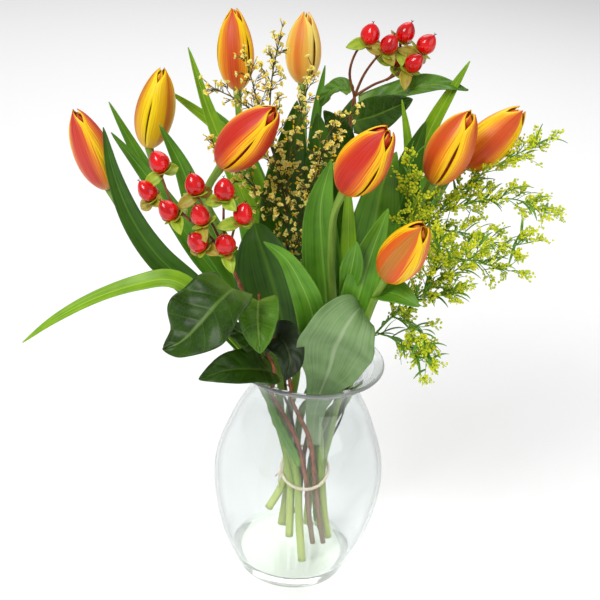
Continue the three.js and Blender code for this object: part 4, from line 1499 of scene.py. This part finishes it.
@dataclass
class Filler:
    """A fine-twigged spray: wiry branches, side twigs by turns, and flowers at the twigs' ends."""

    name: str
    slot: float
    foot: float
    branches: Sequence[Sequence[Point]]
    seed: int
    bare: float
    every_mm: float
    reach_mm: float

    MAIN_MM: ClassVar[float] = 1.35  # radius of the stem inside the vase
    BRANCH_MM: ClassVar[float] = 1.0
    TWIG_MM: ClassVar[float] = 0.42
    TURN: ClassVar[float] = 2.4  # the golden angle, by which leaves and twigs go round a stem
    BUSHY: ClassVar[float] = 0.85  # how far a twig leans out

    def entry(self, bundle: Bundle) -> list[Vector]:
        """The main stem's route from its foot to where it first branches."""
        inside = bundle.inside(self.slot, bundle.core, self.foot)
        return [*inside, over(self.branches[0][0])]

    def twigs(self, bm: bmesh.types.BMesh, bundle: Bundle) -> list[tuple[Vector, Vector]]:
        """Build the wood and the side twigs.

        Args:
            bm: the mesh to add to.
            bundle: the bundle that the main stem passes through.

        Returns:
            The end of each side twig, and the way it points.
        """
        draw = random.Random(self.seed)
        tube(bm, self.entry(bundle), lambda u: self.MAIN_MM * MM, 7, 40)
        heart = over(self.branches[0][0])
        ends = []
        for points in self.branches:
            wood = bmesh.new()
            line = [over(p) for p in points]
            route = tube(wood, line, lambda u: (self.BRANCH_MM - 0.55 * u) * MM, 6, 26)
            count = max(3, round(route.length / (self.every_mm * MM)))
            for i in range(1, count + 1):
                u = i / count
                at, along = route.at(u), route.tangent(u)
                if (at - heart).length < self.bare * MM:
                    continue
                turn = self.TURN * i + draw.uniform(-0.4, 0.4)
                side = beside(along, turn)
                size = self.reach_mm * draw.uniform(0.7, 1.15) * (1 - 0.35 * u) * MM
                lean = self.BUSHY if i < count else 0.1
                way = (along * 0.9 + side * lean + UP * 0.15).normalized()
                end = at + way * size
                sag = (at + end) / 2 + along * 0.12 * size
                tube(wood, [at, sag, end], lambda t: (self.TWIG_MM - 0.12 * t) * MM, 4, 4)
                ends.append((end, way))
            graft(bm, wood)
        return ends


@dataclass
class Limonium(Filler):
    """Statice: dark wiry twigs with little papery cream trumpets in loose bunches."""

    BUDS: ClassVar[float] = 0.35  # the share of florets that are still shut
    LOBES: ClassVar[int] = 5
    SET: ClassVar[float] = 0.62  # how far out of its husk a floret's middle stands, in its sizes

    def build(self, bundle: Bundle) -> None:
        """Build the twigs and the florets."""
        bm, paper = bmesh.new(), bmesh.new()
        draw = random.Random(self.seed + 1)
        for end, way in self.twigs(bm, bundle):
            stalks, bunch = bmesh.new(), bmesh.new()
            for k in range(draw.randint(4, 7)):
                side = beside(way, draw.uniform(0, math.tau))
                aim = (way * 0.7 + side * draw.uniform(0.2, 0.9)).normalized()
                foot = end - way * draw.uniform(0, 12) * MM
                top = foot + aim * draw.uniform(2.5, 6.0) * MM
                tube(stalks, [foot, (foot + top) / 2, top], lambda u: 0.36 * MM, 4, 2)
                self.floret(bunch, top, aim, draw.uniform(1.8, 2.8), draw.random() < self.BUDS)
            graft(bm, stalks)
            graft(paper, bunch)
        finish_piece(bm, f"{self.name}_twigs", [Plain.WIRY], [self.name])
        skins = [Plain.CREAM, Plain.EYE, Plain.HUSK]
        finish_piece(paper, f"{self.name}_florets", skins)

    def floret(
        self, bm: bmesh.types.BMesh, foot: Vector, aim: Vector, size: float, bud: bool
    ) -> None:
        """A papery trumpet of five lobes with a yellow eye in a brown husk, or a shut bud.

        Args:
            bm: the mesh to add to.
            foot: where its stalk ends.
            aim: the way it faces.
            size: the radius of its mouth in mm.
            bud: whether it is still shut.
        """
        turn = UP.rotation_difference(aim).to_matrix().to_4x4()
        slim = Matrix.Diagonal((0.5, 0.5, 1.1, 1))
        place = Matrix.Translation(foot + aim * 0.5 * MM) @ turn @ slim
        husk = bmesh.ops.create_icosphere(bm, subdivisions=1, radius=1.1 * MM, matrix=place)
        for face in faces_of(husk["verts"]):
            face.material_index = 2
        cone = bmesh.ops.create_cone(
            bm,
            cap_ends=bud,
            segments=2 * self.LOBES,
            radius1=0.4 * MM,
            radius2=(0.6 if bud else size) * MM,
            depth=size * (1.4 if bud else 0.75) * MM,
            matrix=Matrix.Translation(foot + aim * size * self.SET * MM) @ turn,
        )["verts"]
        if bud:
            for face in faces_of(cone):
                face.material_index = 1
            return
        mouth = [v for v in cone if (v.co - foot).dot(aim) > size * self.SET * MM]
        middle = sum((v.co for v in mouth), Vector()) / len(mouth)
        one = aim.orthogonal().normalized()
        other = aim.cross(one)
        for vert in mouth:
            away = vert.co - middle
            turn = math.atan2(away.dot(other), away.dot(one))
            notch = round(turn / (math.tau / (2 * self.LOBES))) % 2
            spread, lift = (0.76, 0.3 * MM) if notch else (1.12, -0.3 * MM)
            vert.co = middle + away * spread + aim * lift
        place = Matrix.Translation(middle - aim * 0.3 * MM)
        eye = bmesh.ops.create_icosphere(bm, subdivisions=1, radius=0.6 * MM, matrix=place)["verts"]
        for face in faces_of(eye):
            face.material_index = 1


@dataclass
class Goldenrod(Filler):
    """Goldenrod: green twigs, narrow leaves and plumes of tiny yellow heads."""

    LEAFY: ClassVar[float] = 0.7  # the share of side twigs that carry a leaf
    LEAVES: ClassVar[int] = 12  # along each branch
    HEADS: ClassVar[int] = 8  # on each stalk of a plume
    SCATTER_MM: ClassVar[float] = 2.2

    def build(self, bundle: Bundle) -> None:
        """Build the twigs, the heads and the narrow leaves."""
        bm, gold, leafy = bmesh.new(), bmesh.new(), bmesh.new()
        draw = random.Random(self.seed + 2)
        for end, way in self.twigs(bm, bundle):
            stalks, heads = bmesh.new(), bmesh.new()
            self.plume(stalks, heads, end, way, draw)
            graft(bm, stalks)
            graft(gold, heads)
            if draw.random() < self.LEAFY:
                self.leaf(leafy, end - way * 9 * MM, way, draw)
        for points in self.branches:
            route = Route([over(p) for p in points])
            for k in range(self.LEAVES):
                u = (k + draw.random()) / self.LEAVES
                self.leaf(leafy, route.at(u), route.tangent(u), draw)
        narrow, wall = f"{self.name}_leaves", 0.35 * MM
        finish_piece(bm, f"{self.name}_twigs", [Plain.GREENWOOD], [self.name])
        finish_piece(gold, f"{self.name}_heads", [Plain.GOLD])
        finish_piece(leafy, narrow, [Plain.NARROW], (), wall)

    def plume(
        self,
        bm: bmesh.types.BMesh,
        gold: bmesh.types.BMesh,
        end: Vector,
        way: Vector,
        draw: random.Random,
    ) -> None:
        """A little plume: arching stalks with tiny heads along their upper side."""
        for k in range(draw.randint(4, 6)):
            side = beside(way, draw.uniform(0, math.tau))
            aim = (way * 0.9 + side * draw.uniform(0.3, 1.0) + UP * 0.2).normalized()
            foot = end - way * draw.uniform(0, 12) * MM
            top = foot + aim * draw.uniform(6, 12) * MM
            arch = (foot + top) / 2 + UP * 0.9 * MM
            path = tube(bm, [foot, arch, top], lambda u: 0.22 * MM, 4, 3)
            away = self.SCATTER_MM
            for j in range(self.HEADS):
                jitter = Vector([draw.uniform(-away, away) for _ in range(3)]) * MM
                spot = path.at(0.25 + 0.75 * j / (self.HEADS - 1)) + jitter + UP * 0.5 * MM
                tilt = aim.to_track_quat("Z", "X").to_matrix().to_4x4()
                stretch = Matrix.Diagonal((1.0, 1.0, 1.3, 1.0))
                place = Matrix.Translation(spot) @ tilt @ stretch
                size = draw.uniform(0.75, 1.1) * MM
                bmesh.ops.create_icosphere(gold, subdivisions=1, radius=size, matrix=place)

    def leaf(self, bm: bmesh.types.BMesh, foot: Vector, along: Vector, draw: random.Random) -> None:
        """A narrow pointed leaf, arched outwards."""
        side = beside(along, draw.uniform(0, math.tau))
        way = (along * 0.75 + side * 0.7).normalized()
        span = draw.uniform(12, 24) * MM
        over_side = way.cross(UP if abs(way.z) < 0.9 else Vector((1, 0, 0))).normalized()

        def place(v: float, u: float) -> Vector:
            """Arch the leaf and draw it to a point."""
            wide = 1.1 * MM * math.sin(math.pi * (0.12 + 0.88 * u)) ** 0.8 + 0.08 * MM
            rise = 0.18 * span * math.sin(math.pi * u * 0.8)
            return foot + way * span * u + UP * rise + over_side * v * wide

        bend_grid(bm, 2, 7, place, (2.5 * MM, span))


LIMONIUM = Limonium(
    "limonium_spray", 180, 34,
    (
        ((-19, -8, 34), (-25, -10, 90), (-29, -8, 135)),
        ((-29, -8, 135), (-44, -18, 152), (-62, -22, 172), (-92, -16, 198)),
        ((-29, -8, 135), (-38, -2, 172), (-56, 8, 216), (-72, 14, 262)),
        ((-38, -2, 172), (-48, 2, 206), (-51, 12, 245), (-47, 20, 284)),
        ((-29, -8, 135), (-32, 0, 186), (-25, 6, 222), (-20, 11, 254)),
        ((-25, -10, 90), (-15, -24, 140), (-8, -26, 178), (-1, -12, 214), (14, -6, 230)),
        ((-56, 8, 216), (-76, 15, 228), (-98, 18, 236)),
        ((-15, -24, 140), (-11, -14, 182), (4, -14, 206)),
    ),
    seed=11, bare=42, every_mm=5.5, reach_mm=18,
)
GOLDENROD_UPPER = Goldenrod(
    "goldenrod_spray_upper", 0, 30,
    (
        ((42, 4, 50), (66, 2, 104), (96, 2, 148), (128, 4, 184), (152, 8, 202), (174, 8, 216)),
        ((66, 2, 104), (80, -38, 140), (72, -46, 168), (66, -46, 204)),
        ((96, 2, 148), (130, 0, 164), (160, -4, 170), (186, -8, 162)),
        ((80, 2, 126), (104, -4, 136), (130, -8, 136), (156, -12, 130), (172, -16, 136)),
        ((80, 2, 126), (106, -12, 118), (134, -18, 116), (160, -20, 112)),
    ),
    seed=21, bare=60, every_mm=5, reach_mm=22,
)
GOLDENROD_LOWER = Goldenrod(
    "goldenrod_spray_lower", 300, 28,
    (
        ((45, -42, 37), (66, -54, 76), (89, -62, 104), (111, -62, 126), (130, -58, 146)),
        ((66, -54, 76), (80, -70, 78), (94, -80, 70), (96, -84, 48)),
        ((56, -48, 56), (74, -66, 60), (88, -74, 52)),
        ((89, -62, 104), (102, -72, 108), (114, -76, 114)),
        ((89, -62, 104), (94, -72, 136), (94, -76, 160)),
    ),
    seed=31, bare=36, every_mm=5, reach_mm=18,
)


# ------------------------------------------------------------------------------ studio


@dataclass
class Studio:
    """The camera, a pale floor and soft lights."""

    target: Point = (-12.0, 0.0, 279.0)
    distance: float = 1.1
    down: float = 26.5
    roll: float = 5.0
    lens: float = 75.0
    floor_half: float = 20.0
    floor_drop: float = 0.0004
    room: float = 0.4

    def build(self) -> None:
        """Set up the camera, the floor, the world and the lights."""
        self.camera()
        self.floor()
        self.lights()

    def camera(self) -> None:
        """A camera in front, looking down a little and turned slightly in its frame."""
        data = bpy.data.cameras.new("camera")
        data.lens = self.lens
        data.sensor_width = 36.0
        tilt, roll = math.radians(self.down), math.radians(self.roll)
        aim = Vector(self.target) * MM
        eye = aim + Vector((0, -math.cos(tilt), math.sin(tilt))) * self.distance
        right = Vector((1, 0, 0))
        up = Vector((0, math.sin(tilt), math.cos(tilt)))
        turned_right = right * math.cos(roll) + up * math.sin(roll)
        turned_up = up * math.cos(roll) - right * math.sin(roll)
        back = turned_right.cross(turned_up)
        view = bpy.data.objects.new("camera", data)
        view.matrix_world = Matrix((turned_right, turned_up, back)).transposed().to_4x4()
        view.location = eye
        bpy.context.scene.collection.objects.link(view)
        bpy.context.scene.camera = view

    def floor(self) -> None:
        """A wide pale sheet that the vase stands on."""
        bm = bmesh.new()
        bmesh.ops.create_grid(bm, x_segments=1, y_segments=1, size=self.floor_half)
        mesh = bpy.data.meshes.new("floor")
        bm.to_mesh(mesh)
        bm.free()
        made, tree = new_material("studio_paper")
        paper = {"Base Color": linear("fafafa"), "Roughness": 0.9, "Specular IOR Level": 0.1}
        close_material(tree, paper)
        mesh.materials.append(made)
        floor = bpy.data.objects.new("floor", mesh)
        floor.location.z = -self.floor_drop
        bpy.context.scene.collection.objects.link(floor)

    def lights(self) -> None:
        """A white room, a large key light at the upper left and two softer fills."""
        world = bpy.data.worlds.new("room")
        world.use_nodes = True
        background = world.node_tree.nodes["Background"]
        background.inputs["Color"].default_value = linear("ffffff")
        background.inputs["Strength"].default_value = self.room
        bpy.context.scene.world = world
        rows = (
            ("key", (-0.9, -1.3, 1.7), 0.8, 25.0),
            ("fill", (1.3, -1.1, 0.9), 1.2, 6.0),
            ("top", (0.1, 1.3, 2.3), 2.4, 40.0),
        )
        for name, place, size, power in rows:
            data = bpy.data.lights.new(name, "AREA")
            data.size = size
            data.energy = power
            lamp = bpy.data.objects.new(name, data)
            lamp.location = place
            aim = Vector((0, 0, 0.3)) - Vector(place)
            lamp.rotation_euler = aim.to_track_quat("-Z", "Y").to_euler()
            bpy.context.scene.collection.objects.link(lamp)


def main() -> None:
    logging.basicConfig(level=logging.INFO, format="%(message)s")
    bpy.context.scene.view_settings.view_transform = "Standard"
    Studio().build()
    vase, tie = Vase(), Tie()
    bundle = Bundle(vase, tie)
    vase.build()
    tie.build()
    for tulip in TULIPS:
        tulip.build(bundle)
    for leaf in (*TULIP_LEAVES, *HYPERICUM_LEAVES):
        leaf.build()
    for sheath in SHEATHS:
        sheath.build(bundle)
    for spray in (SPRAY_LEFT, SPRAY_RIGHT, SHORT_STEM):
        spray.build(bundle)
    for filler in (LIMONIUM, GOLDENROD_UPPER, GOLDENROD_LOWER):
        filler.build(bundle)


if __name__ == "__main__":
    main()
